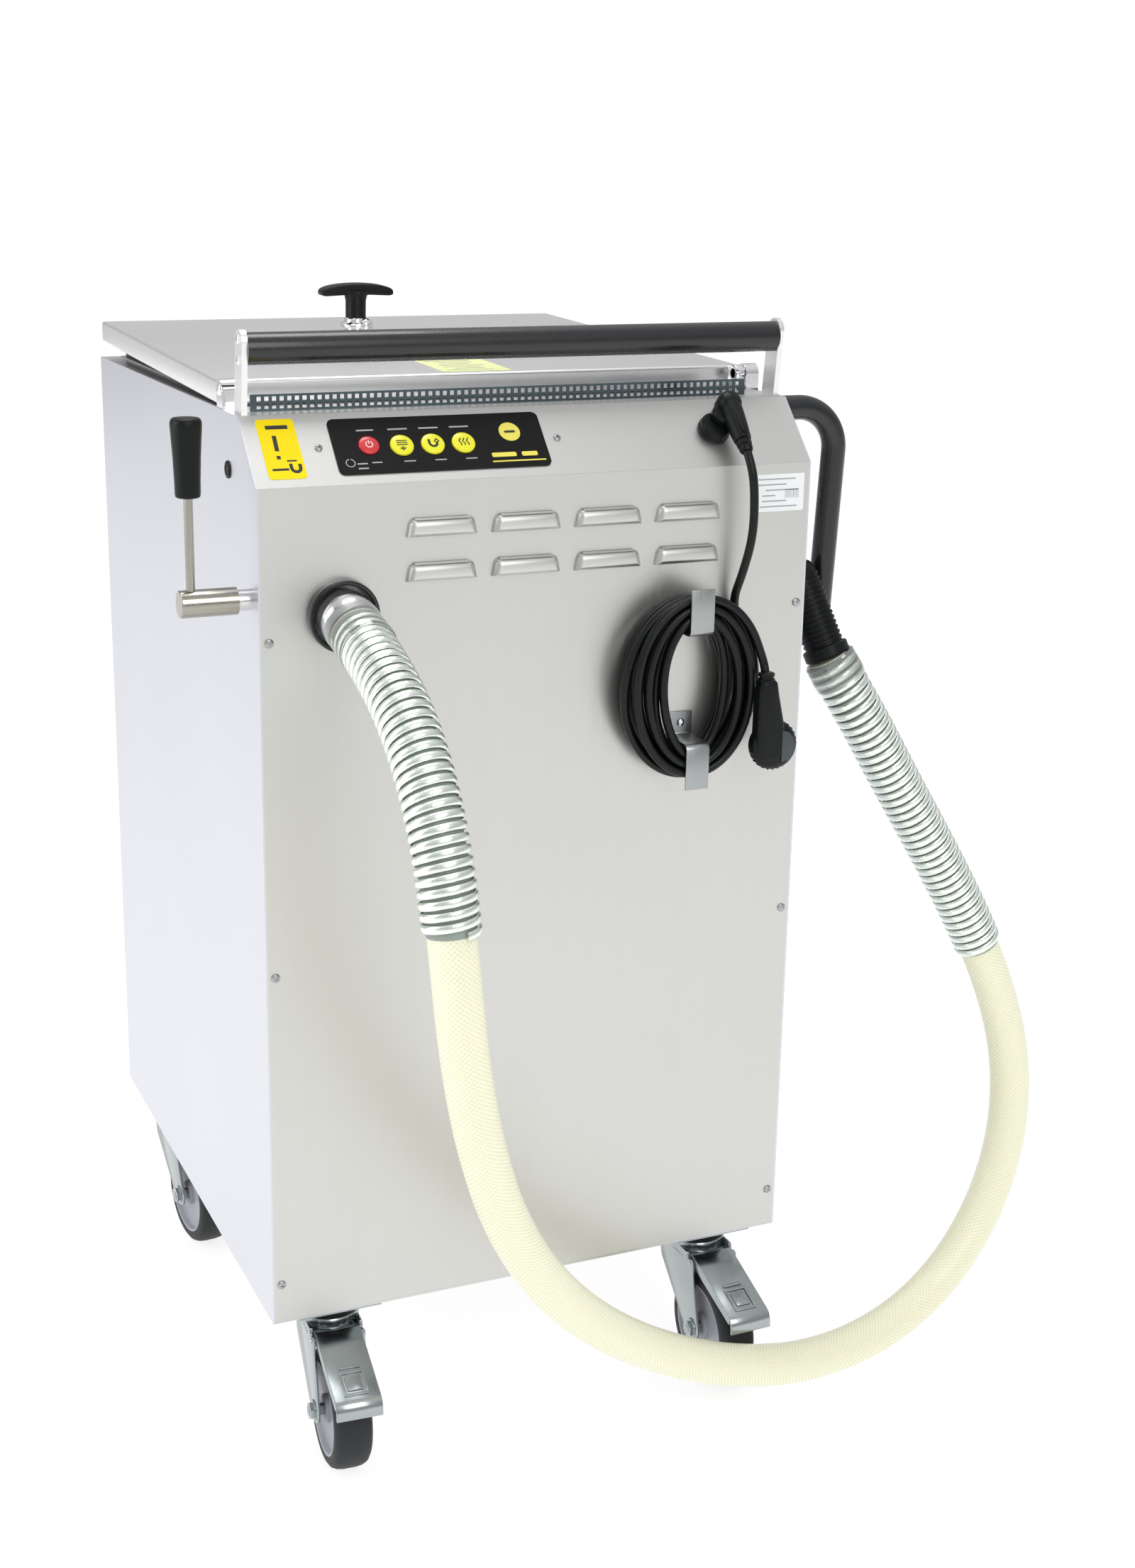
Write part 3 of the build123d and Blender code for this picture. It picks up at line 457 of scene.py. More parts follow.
    @classmethod
    def cut(cls, piece: bpy.types.Object, cutter: bpy.types.Object) -> bpy.types.Object:
        """Takes one shape out of another and throws the cutter away.

        Args:
            piece: The piece to cut.
            cutter: The shape to take out.

        Returns:
            The cut piece.
        """
        cls.apply(piece, "BOOLEAN", object=cutter, operation="DIFFERENCE", solver="EXACT")
        bpy.data.objects.remove(cutter)
        return piece

    @staticmethod
    def dress(
        piece: bpy.types.Object,
        finish: "Finish",
        body: str,
        slot: str,
        replaces: tuple[str, ...] = (),
    ) -> bpy.types.Object:
        """Gives a piece its finish, its body and the CAD nodes that it stands for.

        Args:
            piece: The finished mesh.
            finish: Its surface.
            body: The body it moves with.
            slot: Its material in the record; not used.
            replaces: The CAD nodes it stands for.

        Returns:
            The same piece.
        """
        piece.data.materials.clear()
        piece.data.materials.append(finish.material())
        if replaces:
            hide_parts(*replaces)
        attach(piece, body)
        LOG.info("%s rides on %s", piece.name, body)
        return piece


# ------------------------------------------------------------------ routes
class Route:
    """A smooth line through space, read from a NURBS spline of given control points.

    Attributes:
        controls: Control points in metres.
        points: Points read from the spline, in metres.
        lengths: Distance along the line of each point.
    """

    def __init__(self, controls: list[Point], detail: int = 10) -> None:
        """Reads the spline's own points.

        Args:
            controls: Control points in metres.
            detail: Points read for each control point.
        """
        self.controls = controls
        curve = self.curve("route_line", controls, detail)
        holder = bpy.data.objects.new("route_line", curve)
        bpy.context.scene.collection.objects.link(holder)
        line = bpy.data.meshes.new_from_object(holder)
        self.points = [vertex.co.copy() for vertex in line.vertices]
        bpy.data.objects.remove(holder)
        bpy.data.curves.remove(curve)
        bpy.data.meshes.remove(line)
        self.lengths = [0.0]
        for before, here in zip(self.points, self.points[1:]):
            self.lengths.append(self.lengths[-1] + (here - before).length)
        self.frames = self._frames()

    @staticmethod
    def curve(name: str, controls: list[Point], detail: int) -> bpy.types.Curve:
        """An open NURBS curve that bends smoothly towards its control points.

        Args:
            name: Name of the curve.
            controls: Control points in metres.
            detail: Points for each control point.

        Returns:
            The curve, in no collection.
        """
        curve = bpy.data.curves.new(name, "CURVE")
        curve.dimensions = "3D"
        curve.resolution_u = detail
        spline = curve.splines.new("NURBS")
        spline.points.add(len(controls) - 1)
        for point, place in zip(spline.points, controls):
            point.co = (*place, 1.0)
        spline.order_u = 3
        spline.use_endpoint_u = True
        return curve

    def _frames(self) -> list[tuple[Vector, Vector, Vector]]:
        """Direction, side and rise at each point, carried along without twist.

        Returns:
            Three square directions for each point.
        """
        frames = []
        side = None
        for i in range(len(self.points)):
            before, after = self.points[max(i - 1, 0)], self.points[min(i + 1, len(self.points) - 1)]
            way = (after - before).normalized()
            if side is None:
                side = way.cross(Vector((0, 0, 1))).normalized()
            side = (side - way * side.dot(way)).normalized()
            frames.append((way, side, way.cross(side)))
        return frames

    @property
    def length(self) -> float:
        """Length of the line in metres."""
        return self.lengths[-1]

    def frame_at(self, distance: float) -> tuple[Vector, Vector, Vector, Vector]:
        """Place, direction, side and rise at a distance along the line, in metres.

        Args:
            distance: Distance from the start, in metres.

        Returns:
            The place and its three directions.
        """
        distance = min(max(distance, 0.0), self.length)
        i = 1
        while i < len(self.lengths) - 1 and self.lengths[i] < distance:
            i += 1
        share = (distance - self.lengths[i - 1]) / (self.lengths[i] - self.lengths[i - 1])
        place = self.points[i - 1].lerp(self.points[i], share)
        way, side, rise = (a.lerp(b, share) for a, b in zip(self.frames[i - 1], self.frames[i]))
        return place, way.normalized(), side.normalized(), rise.normalized()

    def nearest_length(self, place: Vector) -> float:
        """Distance along the line of its point nearest to a place, in metres."""
        best = min(range(len(self.points)), key=lambda i: (self.points[i] - place).length)
        return self.lengths[best]

    @staticmethod
    def even(count: int, radius: float) -> list[tuple[float, float]]:
        """Evenly spread rings of one radius."""
        return [(i / count, radius) for i in range(count + 1)]

    def tube(
        self, name: str, start: float, end: float, rings: list[tuple[float, float]], sides: int = 40
    ) -> bpy.types.Object:
        """A closed round tube along part of the line, with a UV map that follows it.

        Args:
            name: Name of the piece.
            start: Where it starts along the line, in metres.
            end: Where it ends along the line, in metres.
            rings: Share of the stretch and radius in metres of each ring.
            sides: Number of flats around.

        Returns:
            The tube, with flat closed ends.
        """
        verts, faces = [], []
        for share, radius in rings:
            place, _, side, rise = self.frame_at(start + (end - start) * share)
            for k in range(sides):
                angle = 2 * math.pi * k / sides
                verts.append(place + side * radius * math.cos(angle) + rise * radius * math.sin(angle))
        for ring in range(len(rings) - 1):
            for k in range(sides):
                a, b = ring * sides + k, ring * sides + (k + 1) % sides
                faces.append((a, b, b + sides, a + sides))
        last = (len(rings) - 1) * sides
        faces.append(tuple(reversed(range(sides))))
        faces.append(tuple(last + k for k in range(sides)))
        piece = Bench.from_faces(name, verts, faces)
        mesh = piece.data
        layer = mesh.uv_layers.new(name="along")
        for face in mesh.polygons:
            closing = len(face.vertices) == 4 and max(v % sides for v in face.vertices) == sides - 1
            for loop in face.loop_indices:
                vertex = mesh.loops[loop].vertex_index
                ring, k = divmod(vertex, sides)
                if k == 0 and closing:
                    k = sides
                layer.data[loop].uv = ((end - start) * rings[ring][0], k / sides)
        return Bench.smooth(piece)


# ------------------------------------------------------------------ finishes
class Weave:
    """Shader node groups that more than one finish uses, each built once."""

    @staticmethod
    def _group(name: str, inputs: dict[str, float], outputs: list[str]) -> bpy.types.NodeTree:
        """An empty node group with a Vector input, value inputs and value outputs.

        Args:
            name: Name of the group.
            inputs: Name and first value of each value input.
            outputs: Names of the value outputs.

        Returns:
            The group.
        """
        tree = bpy.data.node_groups.new(name, "ShaderNodeTree")
        tree.interface.new_socket("Vector", in_out="INPUT", socket_type="NodeSocketVector")
        for key, value in inputs.items():
            socket = tree.interface.new_socket(key, in_out="INPUT", socket_type="NodeSocketFloat")
            socket.default_value = value
        for key in outputs:
            tree.interface.new_socket(key, in_out="OUTPUT", socket_type="NodeSocketFloat")
        return tree

    @classmethod
    def brushed(cls) -> bpy.types.NodeTree:
        """Long fine lines of brushed sheet: a mask and a height, drawn along the stretched axis.

        Returns:
            The group.
        """
        if "brushed_lines" in bpy.data.node_groups:
            return bpy.data.node_groups["brushed_lines"]
        tree = cls._group(
            "brushed_lines", {"Across": 900.0, "Along X": 6.0, "Along Z": 900.0}, ["Lines", "Cloud"]
        )
        nodes, links = tree.nodes, tree.links
        source, sink = nodes.new("NodeGroupInput"), nodes.new("NodeGroupOutput")
        scale = nodes.new("ShaderNodeCombineXYZ")
        stretch = nodes.new("ShaderNodeVectorMath")
        stretch.operation = "MULTIPLY"
        fine, cloud = nodes.new("ShaderNodeTexNoise"), nodes.new("ShaderNodeTexNoise")
        fine.inputs["Scale"].default_value = 1.0
        fine.inputs["Detail"].default_value = 3.0
        cloud.inputs["Scale"].default_value = 5.0
        cloud.inputs["Detail"].default_value = 2.0
        links.new(source.outputs["Along X"], scale.inputs["X"])
        links.new(source.outputs["Across"], scale.inputs["Y"])
        links.new(source.outputs["Along Z"], scale.inputs["Z"])
        links.new(source.outputs["Vector"], stretch.inputs[0])
        links.new(scale.outputs[0], stretch.inputs[1])
        links.new(stretch.outputs[0], fine.inputs["Vector"])
        links.new(source.outputs["Vector"], cloud.inputs["Vector"])
        links.new(fine.outputs["Fac"], sink.inputs["Lines"])
        links.new(cloud.outputs["Fac"], sink.inputs["Cloud"])
        return tree

    @classmethod
    def grained(cls) -> bpy.types.NodeTree:
        """Even grain of moulded or cast surfaces: a fine and a broad noise.

        Returns:
            The group.
        """
        if "even_grain" in bpy.data.node_groups:
            return bpy.data.node_groups["even_grain"]
        tree = cls._group("even_grain", {"Fine Scale": 900.0, "Broad Scale": 30.0}, ["Fine", "Broad"])
        nodes, links = tree.nodes, tree.links
        source, sink = nodes.new("NodeGroupInput"), nodes.new("NodeGroupOutput")
        for key in ("Fine", "Broad"):
            noise = nodes.new("ShaderNodeTexNoise")
            noise.inputs["Detail"].default_value = 2.0
            links.new(source.outputs["Vector"], noise.inputs["Vector"])
            links.new(source.outputs[f"{key} Scale"], noise.inputs["Scale"])
            links.new(noise.outputs["Fac"], sink.inputs[key])
        return tree

    @classmethod
    def braided(cls) -> bpy.types.NodeTree:
        """Two crossed sets of threads on a hose, from its own UV map.

        Returns:
            The group.
        """
        if "braided_threads" in bpy.data.node_groups:
            return bpy.data.node_groups["braided_threads"]
        tree = cls._group("braided_threads", {"Along": 260.0, "Around": 26.0}, ["Threads"])
        nodes, links = tree.nodes, tree.links
        source, sink = nodes.new("NodeGroupInput"), nodes.new("NodeGroupOutput")
        parts = nodes.new("ShaderNodeSeparateXYZ")
        links.new(source.outputs["Vector"], parts.inputs[0])
        along, around = nodes.new("ShaderNodeMath"), nodes.new("ShaderNodeMath")
        along.operation = around.operation = "MULTIPLY"
        links.new(parts.outputs["X"], along.inputs[0])
        links.new(source.outputs["Along"], along.inputs[1])
        links.new(parts.outputs["Y"], around.inputs[0])
        links.new(source.outputs["Around"], around.inputs[1])
        waves = []
        for way in ("ADD", "SUBTRACT"):
            mix, turn, wave = (nodes.new("ShaderNodeMath") for _ in range(3))
            mix.operation, turn.operation, wave.operation = way, "MULTIPLY", "SINE"
            turn.inputs[1].default_value = 2 * math.pi
            links.new(along.outputs[0], mix.inputs[0])
            links.new(around.outputs[0], mix.inputs[1])
            links.new(mix.outputs[0], turn.inputs[0])
            links.new(turn.outputs[0], wave.inputs[0])
            waves.append(wave)
        top = nodes.new("ShaderNodeMath")
        top.operation = "MAXIMUM"
        links.new(waves[0].outputs[0], top.inputs[0])
        links.new(waves[1].outputs[0], top.inputs[1])
        links.new(top.outputs[0], sink.inputs["Threads"])
        return tree


@dataclass(frozen=True)
class Finish:
    """A surface finish, made into a material the first time that it is used.

    Attributes:
        name: Name of the material.
        color: Base colour, linear.
        roughness: Middle roughness.
        metallic: 1 for bare metal, else 0.
        swing: How far the colour varies from light to dark.
        rough_swing: How far the roughness varies.
        bump: Height of the grain in millimetres.
        coat: Weight of a clear coat.
        transmission: Weight of light let through.
        glow: Weight of light scattered under the surface.
        alpha: Opacity.
        specular: Strength of the mirror-like part.
        fine_scale: How tightly the fine grain is packed.
        broad_scale: How tightly the slow cloud is packed.
    """

    name: str
    color: tuple[float, float, float]
    roughness: float = 0.4
    metallic: float = 0.0
    swing: float = 0.06
    rough_swing: float = 0.08
    bump: float = 0.02
    coat: float = 0.0
    transmission: float = 0.0
    glow: float = 0.0
    alpha: float = 1.0
    specular: float = 0.5
    fine_scale: float = 900.0
    broad_scale: float = 30.0

    def material(self) -> bpy.types.Material:
        """The material of this finish.

        Returns:
            The material, new or already made.
        """
        label = f"finish_{self.name}"
        if label in bpy.data.materials:
            return bpy.data.materials[label]
        material = bpy.data.materials.new(label)
        material.use_nodes = True
        nodes = material.node_tree.nodes
        shader = nodes["Principled BSDF"]
        shader.inputs["Metallic"].default_value = self.metallic
        shader.inputs["Coat Weight"].default_value = self.coat
        shader.inputs["Coat Roughness"].default_value = 0.08
        shader.inputs["Transmission Weight"].default_value = self.transmission
        shader.inputs["Subsurface Weight"].default_value = self.glow
        shader.inputs["Subsurface Radius"].default_value = (0.012, 0.010, 0.006)
        shader.inputs["Subsurface Scale"].default_value = 1.0
        shader.inputs["Alpha"].default_value = self.alpha
        shader.inputs["Specular IOR Level"].default_value = self.specular
        fine, broad = self.pattern(material.node_tree)
        self.vary(material.node_tree, shader, fine, broad)
        return material

    def pattern(self, tree: bpy.types.NodeTree) -> tuple[bpy.types.NodeSocket, bpy.types.NodeSocket]:
        """The fine and the broad pattern of this finish.

        Args:
            tree: Node tree of the material.

        Returns:
            The fine and the broad output.
        """
        place = tree.nodes.new("ShaderNodeTexCoord")
        grain = tree.nodes.new("ShaderNodeGroup")
        grain.node_tree = Weave.grained()
        grain.inputs["Fine Scale"].default_value = self.fine_scale
        grain.inputs["Broad Scale"].default_value = self.broad_scale
        tree.links.new(place.outputs["Object"], grain.inputs["Vector"])
        return grain.outputs["Fine"], grain.outputs["Broad"]

    def vary(
        self,
        tree: bpy.types.NodeTree,
        shader: bpy.types.Node,
        fine: bpy.types.NodeSocket,
        broad: bpy.types.NodeSocket,
    ) -> None:
        """Feeds the patterns to the colour, the roughness and the bump.

        Args:
            tree: Node tree of the material.
            shader: Its Principled shader.
            fine: The fine pattern.
            broad: The broad pattern.
        """
        nodes, links = tree.nodes, tree.links
        tint = nodes.new("ShaderNodeMix")
        tint.data_type = "RGBA"
        dark = [channel * (1 - self.swing) for channel in self.color]
        light = [min(channel * (1 + self.swing), 1.0) for channel in self.color]
        tint.inputs["A"].default_value = (*dark, 1)
        tint.inputs["B"].default_value = (*light, 1)
        links.new(broad, tint.inputs["Factor"])
        links.new(tint.outputs["Result"], shader.inputs["Base Color"])
        gloss = nodes.new("ShaderNodeMapRange")
        gloss.inputs["From Min"].default_value = 0.3
        gloss.inputs["From Max"].default_value = 0.7
        gloss.inputs["To Min"].default_value = max(self.roughness - self.rough_swing, 0.02)
        gloss.inputs["To Max"].default_value = min(self.roughness + self.rough_swing, 1.0)
        links.new(fine, gloss.inputs["Value"])
        links.new(gloss.outputs["Result"], shader.inputs["Roughness"])
        relief = nodes.new("ShaderNodeBump")
        relief.inputs["Strength"].default_value = 0.6
        relief.inputs["Distance"].default_value = self.bump * MM
        links.new(fine, relief.inputs["Height"])
        links.new(relief.outputs["Normal"], shader.inputs["Normal"])


@dataclass(frozen=True)
class Brushed(Finish):
    """Bare sheet metal with fine lines along one direction.

    Attributes:
        grain_x: How tightly the lines are packed along X.
        grain_y: How tightly the lines are packed along Y.
        grain_z: How tightly the lines are packed along Z.
    """

    grain_x: float = 6.0
    grain_y: float = 900.0
    grain_z: float = 900.0

    def pattern(self, tree: bpy.types.NodeTree) -> tuple[bpy.types.NodeSocket, bpy.types.NodeSocket]:
        """Brushed lines and a slow cloud.

        Args:
            tree: Node tree of the material.

        Returns:
            The lines and the cloud.
        """
        place = tree.nodes.new("ShaderNodeTexCoord")
        lines = tree.nodes.new("ShaderNodeGroup")
        lines.node_tree = Weave.brushed()
        lines.inputs["Along X"].default_value = self.grain_x
        lines.inputs["Across"].default_value = self.grain_y
        lines.inputs["Along Z"].default_value = self.grain_z
        tree.links.new(place.outputs["Object"], lines.inputs["Vector"])
        return lines.outputs["Lines"], lines.outputs["Cloud"]


@dataclass(frozen=True)
class Braided(Finish):
    """Milky hose with a braid that shows through."""

    def pattern(self, tree: bpy.types.NodeTree) -> tuple[bpy.types.NodeSocket, bpy.types.NodeSocket]:
        """Crossed threads, and the same threads again as the tint.

        Args:
            tree: Node tree of the material.

        Returns:
            The threads, twice.
        """
        place = tree.nodes.new("ShaderNodeTexCoord")
        threads = tree.nodes.new("ShaderNodeGroup")
        threads.node_tree = Weave.braided()
        tree.links.new(place.outputs["UV"], threads.inputs["Vector"])
        half = tree.nodes.new("ShaderNodeMapRange")
        half.inputs["From Min"].default_value = -1.0
        half.inputs["From Max"].default_value = 1.0
        tree.links.new(threads.outputs["Threads"], half.inputs["Value"])
        return half.outputs["Result"], half.outputs["Result"]


FRONT_SHEET = Brushed(
    "front_sheet", (0.64, 0.638, 0.612), 0.40, 1.0, swing=0.03, rough_swing=0.03, bump=0.006,
    grain_x=900, grain_z=5,
)
SIDE_SHEET = Brushed(
    "side_sheet", (0.68, 0.69, 0.735), 0.35, 1.0, swing=0.03, rough_swing=0.03, bump=0.006,
    grain_y=900, grain_z=5,
)
LID_SHEET = Brushed("lid_sheet", (0.88, 0.875, 0.87), 0.32, 1.0, swing=0.03, rough_swing=0.03, bump=0.003)
INNER_SHEET = Brushed("inner_sheet", (0.60, 0.60, 0.59), 0.32, 1.0, bump=0.006)
VENT_SHEET = Brushed("vent_sheet", (0.09, 0.12, 0.13), 0.34, 1.0, swing=0.2, bump=0.006)
TURNED_STEEL = Brushed("turned_steel", (0.70, 0.69, 0.68), 0.22, 1.0, grain_x=900, grain_z=30)
LEVER_STEEL = Brushed("lever_steel", (0.37, 0.355, 0.31), 0.20, 1.0, grain_x=900, grain_z=30)
POLISHED = Finish("polished_steel", (0.86, 0.86, 0.87), 0.07, 1.0, swing=0.02, rough_swing=0.03, bump=0.003)
ZINC = Finish("zinc_plate", (0.40, 0.435, 0.44), 0.22, 1.0, swing=0.06, rough_swing=0.04, bump=0.0015)
SPRING_WIRE = Finish("spring_wire", (0.87, 0.93, 0.86), 0.30, 1.0, swing=0.04, rough_swing=0.06, bump=0.005)
HOOK_STRIP = Brushed("hook_strip", (0.38, 0.40, 0.40), 0.36, 1.0, bump=0.005, grain_x=900, grain_z=20)
BLACK_TUBE = Finish("black_tube", (0.006, 0.007, 0.008), 0.30, coat=0.3, specular=0.5, bump=0.008)
BLACK_GLOSS = Finish("black_gloss", (0.006, 0.007, 0.007), 0.22, coat=0.2, swing=0.1, bump=0.006)
BLACK_MOULDED = Finish("black_moulded", (0.004, 0.005, 0.005), 0.40, specular=0.22, swing=0.15, bump=0.02)
BLACK_RUBBER = Finish("black_rubber", (0.004, 0.005, 0.005), 0.34, swing=0.15, specular=0.28, bump=0.015)
# Painted highlight: a lighter grey for the right side of the plug's face, where the light falls.
PLUG_PAINTED_HIGHLIGHT = Finish("plug_painted_highlight", (0.045, 0.055, 0.062), 0.38, swing=0.12, bump=0.02)
TYRE = Finish("grey_tyre", (0.024, 0.026, 0.028), 0.60, specular=0.3, swing=0.12, bump=0.03)
RIM = Finish("grey_rim", (0.33, 0.34, 0.38), 0.40, swing=0.06, bump=0.02)
SEAL = Finish("lid_seal", (0.035, 0.035, 0.036), 0.55, bump=0.02)
HOSE = Braided(
    "milky_hose", (0.85, 0.845, 0.63), 0.32, swing=0.10, rough_swing=0.05, bump=0.35, coat=0.2, glow=0.25
)
# Painted shade: a dark grey-green liner under the spring guards stands for the shade in the gaps between
# the wire turns.
PAINTED_GUARD_SHADE = Finish("painted_guard_shade", (0.30, 0.35, 0.30), 0.5, swing=0.2, bump=0.02)
SCREW_STEEL = Finish("screw_steel", (0.42, 0.42, 0.43), 0.26, 1.0, swing=0.1, bump=0.004)
CLEAR_SLEEVE = Finish(
    "clear_sleeve", (0.93, 0.95, 0.94), 0.09, swing=0.02, bump=0.08, coat=0.8, transmission=0.92,
    fine_scale=60, broad_scale=20,
)
COUPLING_METAL = Finish(
    "coupling_metal", (0.60, 0.60, 0.62), 0.14, 1.0, swing=0.25, bump=0.01, broad_scale=90
)
OVERLAY = Finish("overlay_film", (0.001, 0.001, 0.001), 0.42, specular=0.2, bump=0.004)
RED = Finish("red_button", (0.62, 0.018, 0.022), 0.28, coat=0.5, bump=0.006)
YELLOW = Finish("yellow_button", (0.83, 0.80, 0.015), 0.30, coat=0.4, bump=0.006)
STICKER_YELLOW = Finish("yellow_sticker", (0.94, 0.72, 0.0), 0.42, specular=0.2, swing=0.03, bump=0.004)
STICKER_PALE = Finish("pale_sticker", (0.80, 0.84, 0.38), 0.38, swing=0.03, bump=0.004)
STICKER_WHITE = Finish("white_sticker", (0.86, 0.88, 0.88), 0.40, swing=0.02, bump=0.004)
INK_BLACK = Finish("black_ink", (0.012, 0.012, 0.012), 0.40, bump=0.002)
INK_YELLOW = Finish("yellow_ink", (0.80, 0.70, 0.10), 0.40, bump=0.002)
INK_GREY = Finish("grey_ink", (0.38, 0.40, 0.42), 0.40, bump=0.002)
INK_WHITE = Finish("white_ink", (0.85, 0.80, 0.78), 0.40, bump=0.002)
CAST = Finish("cast_aluminium", (0.50, 0.50, 0.50), 0.45, 1.0, swing=0.12, bump=0.06)
MOTOR_PAINT = Finish("motor_paint", (0.05, 0.065, 0.08), 0.40, swing=0.1, bump=0.03)


class Wear(Enum):
    """Finish of each CAD node that shows as it is."""

    left_panel = SIDE_SHEET
    right_panel = SIDE_SHEET
    back_panel = FRONT_SHEET
    control_fascia = FRONT_SHEET
    top_deck = LID_SHEET
    base_plate = INNER_SHEET
    vent_strip = VENT_SHEET
    hinge_brackets = POLISHED
    handle_uprights = LID_SHEET
    push_bar = BLACK_TUBE
    lever_bush = TURNED_STEEL
    valve_lever = LEVER_STEEL
    port_ring = BLACK_GLOSS
    hose_hook = BLACK_TUBE
    lance_tube = TURNED_STEEL
    lance_holders = BLACK_MOULDED
    oil_tank = INNER_SHEET
    filter_basket = INNER_SHEET
    pump_body = CAST
    pump_motor = MOTOR_PAINT
    oil_pipes = TURNED_STEEL
    selector_valve = CAST
    lid_gasket = SEAL
    castor_plates = ZINC


# ------------------------------------------------------------------ sub-assemblies
@dataclass
class Studio:
    """Pale floor, soft lights and the camera, with places in metres."""

    position: Point = (-0.6510, -1.7383, 1.0573)
    azimuth: float = -23.298
    elevation: float = 15.896
    roll: float = 0.833
    lens: float = 48.94
    shift: tuple[float, float] = (0.0245, -0.0220)
    floor_glow: float = 0.82
    seen_white: float = 1.05
    boxes: tuple[tuple[str, Point, Point, tuple[float, float], float], ...] = (
        ("left_box", (-2.6, 0.2, 1.5), (0, 0, 0.5), (1.4, 2.2), 30),
        ("front_box", (0.1, -2.9, 2.3), (0, 0, 0.5), (1.3, 1.8), 28),
        ("top_box", (0.0, 0.4, 3.2), (0, 0, 0.8), (1.6, 1.2), 34),
    )

    def build(self) -> None:
        """Makes the camera, the floor and the lights."""
        self.camera()
        self.floor()
        self.lights()

    def camera(self) -> None:
        """A camera with square framing and no depth of field."""
        a, e, r = (math.radians(v) for v in (self.azimuth, self.elevation, self.roll))
        back = Vector((math.sin(a) * math.cos(e), -math.cos(a) * math.cos(e), math.sin(e)))
        right = Vector((0, 0, 1)).cross(back).normalized()
        up = back.cross(right)
        side = right * math.cos(r) + up * math.sin(r)
        rise = up * math.cos(r) - right * math.sin(r)
        data = bpy.data.cameras.new("camera")
        data.lens = self.lens
        data.sensor_width = 36.0
        data.shift_x, data.shift_y = self.shift
        camera = bpy.data.objects.new("camera", data)
        turn = Matrix((side, rise, back)).transposed().to_4x4()
        camera.matrix_world = Matrix.Translation(Vector(self.position)) @ turn
        bpy.context.scene.collection.objects.link(camera)
        bpy.context.scene.camera = camera

    def floor(self) -> None:
        """A wide pale floor, which isn't part of the trolley."""
        Bench.deselect()
        bpy.ops.mesh.primitive_plane_add(size=14, location=(0, 0, 0))
        floor = Bench.named("studio_floor")
        material = bpy.data.materials.new("pale_floor")
        material.use_nodes = True
        shader = material.node_tree.nodes["Principled BSDF"]
        shader.inputs["Base Color"].default_value = (0.30, 0.30, 0.30, 1)
        shader.inputs["Roughness"].default_value = 0.9
        shader.inputs["Emission Color"].default_value = (1.0, 1.0, 1.0, 1)
        shader.inputs["Emission Strength"].default_value = self.floor_glow
        floor.data.materials.append(material)

    def lights(self) -> None:
        """A white surround that mirrors as grey with a bright sky, and three soft boxes."""
        world = bpy.data.worlds.new("studio")
        world.use_nodes = True
        nodes, links = world.node_tree.nodes, world.node_tree.links
        seen = nodes["Background"]
        seen.inputs["Color"].default_value = (1.0, 1.0, 1.0, 1)
        seen.inputs["Strength"].default_value = self.seen_white
        mirrored = nodes.new("ShaderNodeBackground")
        place, split = nodes.new("ShaderNodeTexCoord"), nodes.new("ShaderNodeSeparateXYZ")
        ramp = nodes.new("ShaderNodeValToRGB")
        ramp.color_ramp.elements[0].position = 0.0
        ramp.color_ramp.elements[0].color = (0.62, 0.62, 0.63, 1)
        ramp.color_ramp.elements[1].position = 1.0
        ramp.color_ramp.elements[1].color = (0.80, 0.80, 0.82, 1)
        for position, level in ((0.08, 0.44), (0.30, 0.46), (0.55, 0.60)):
            ramp.color_ramp.elements.new(position).color = (level, level, level * 1.03, 1)
        mix, path = nodes.new("ShaderNodeMixShader"), nodes.new("ShaderNodeLightPath")
        links.new(place.outputs["Generated"], split.inputs[0])
        links.new(split.outputs["Z"], ramp.inputs["Fac"])
        links.new(ramp.outputs["Color"], mirrored.inputs["Color"])
        links.new(path.outputs["Is Camera Ray"], mix.inputs["Fac"])
        links.new(mirrored.outputs[0], mix.inputs[1])
        links.new(seen.outputs[0], mix.inputs[2])
        links.new(mix.outputs[0], nodes["World Output"].inputs["Surface"])
        bpy.context.scene.world = world
        bpy.context.scene.view_settings.view_transform = "Standard"
        for box in self.boxes:
            self.soft_box(*box)

    def soft_box(
        self, name: str, place: Point, aim: Point, size: tuple[float, float], power: float
    ) -> None:
        """One rectangular area light that points at a place.

        Args:
            name: Name of the light.
            place: Where it hangs, in metres.
            aim: Where it points, in metres.
            size: Width and height, in metres.
            power: Power in watts.
        """
        data = bpy.data.lights.new(name, "AREA")
        data.shape = "RECTANGLE"
        data.size, data.size_y = size
        data.energy = power
        light = bpy.data.objects.new(name, data)
        light.location = place
        light.rotation_euler = (Vector(aim) - Vector(place)).to_track_quat("-Z", "Y").to_euler()
        bpy.context.scene.collection.objects.link(light)


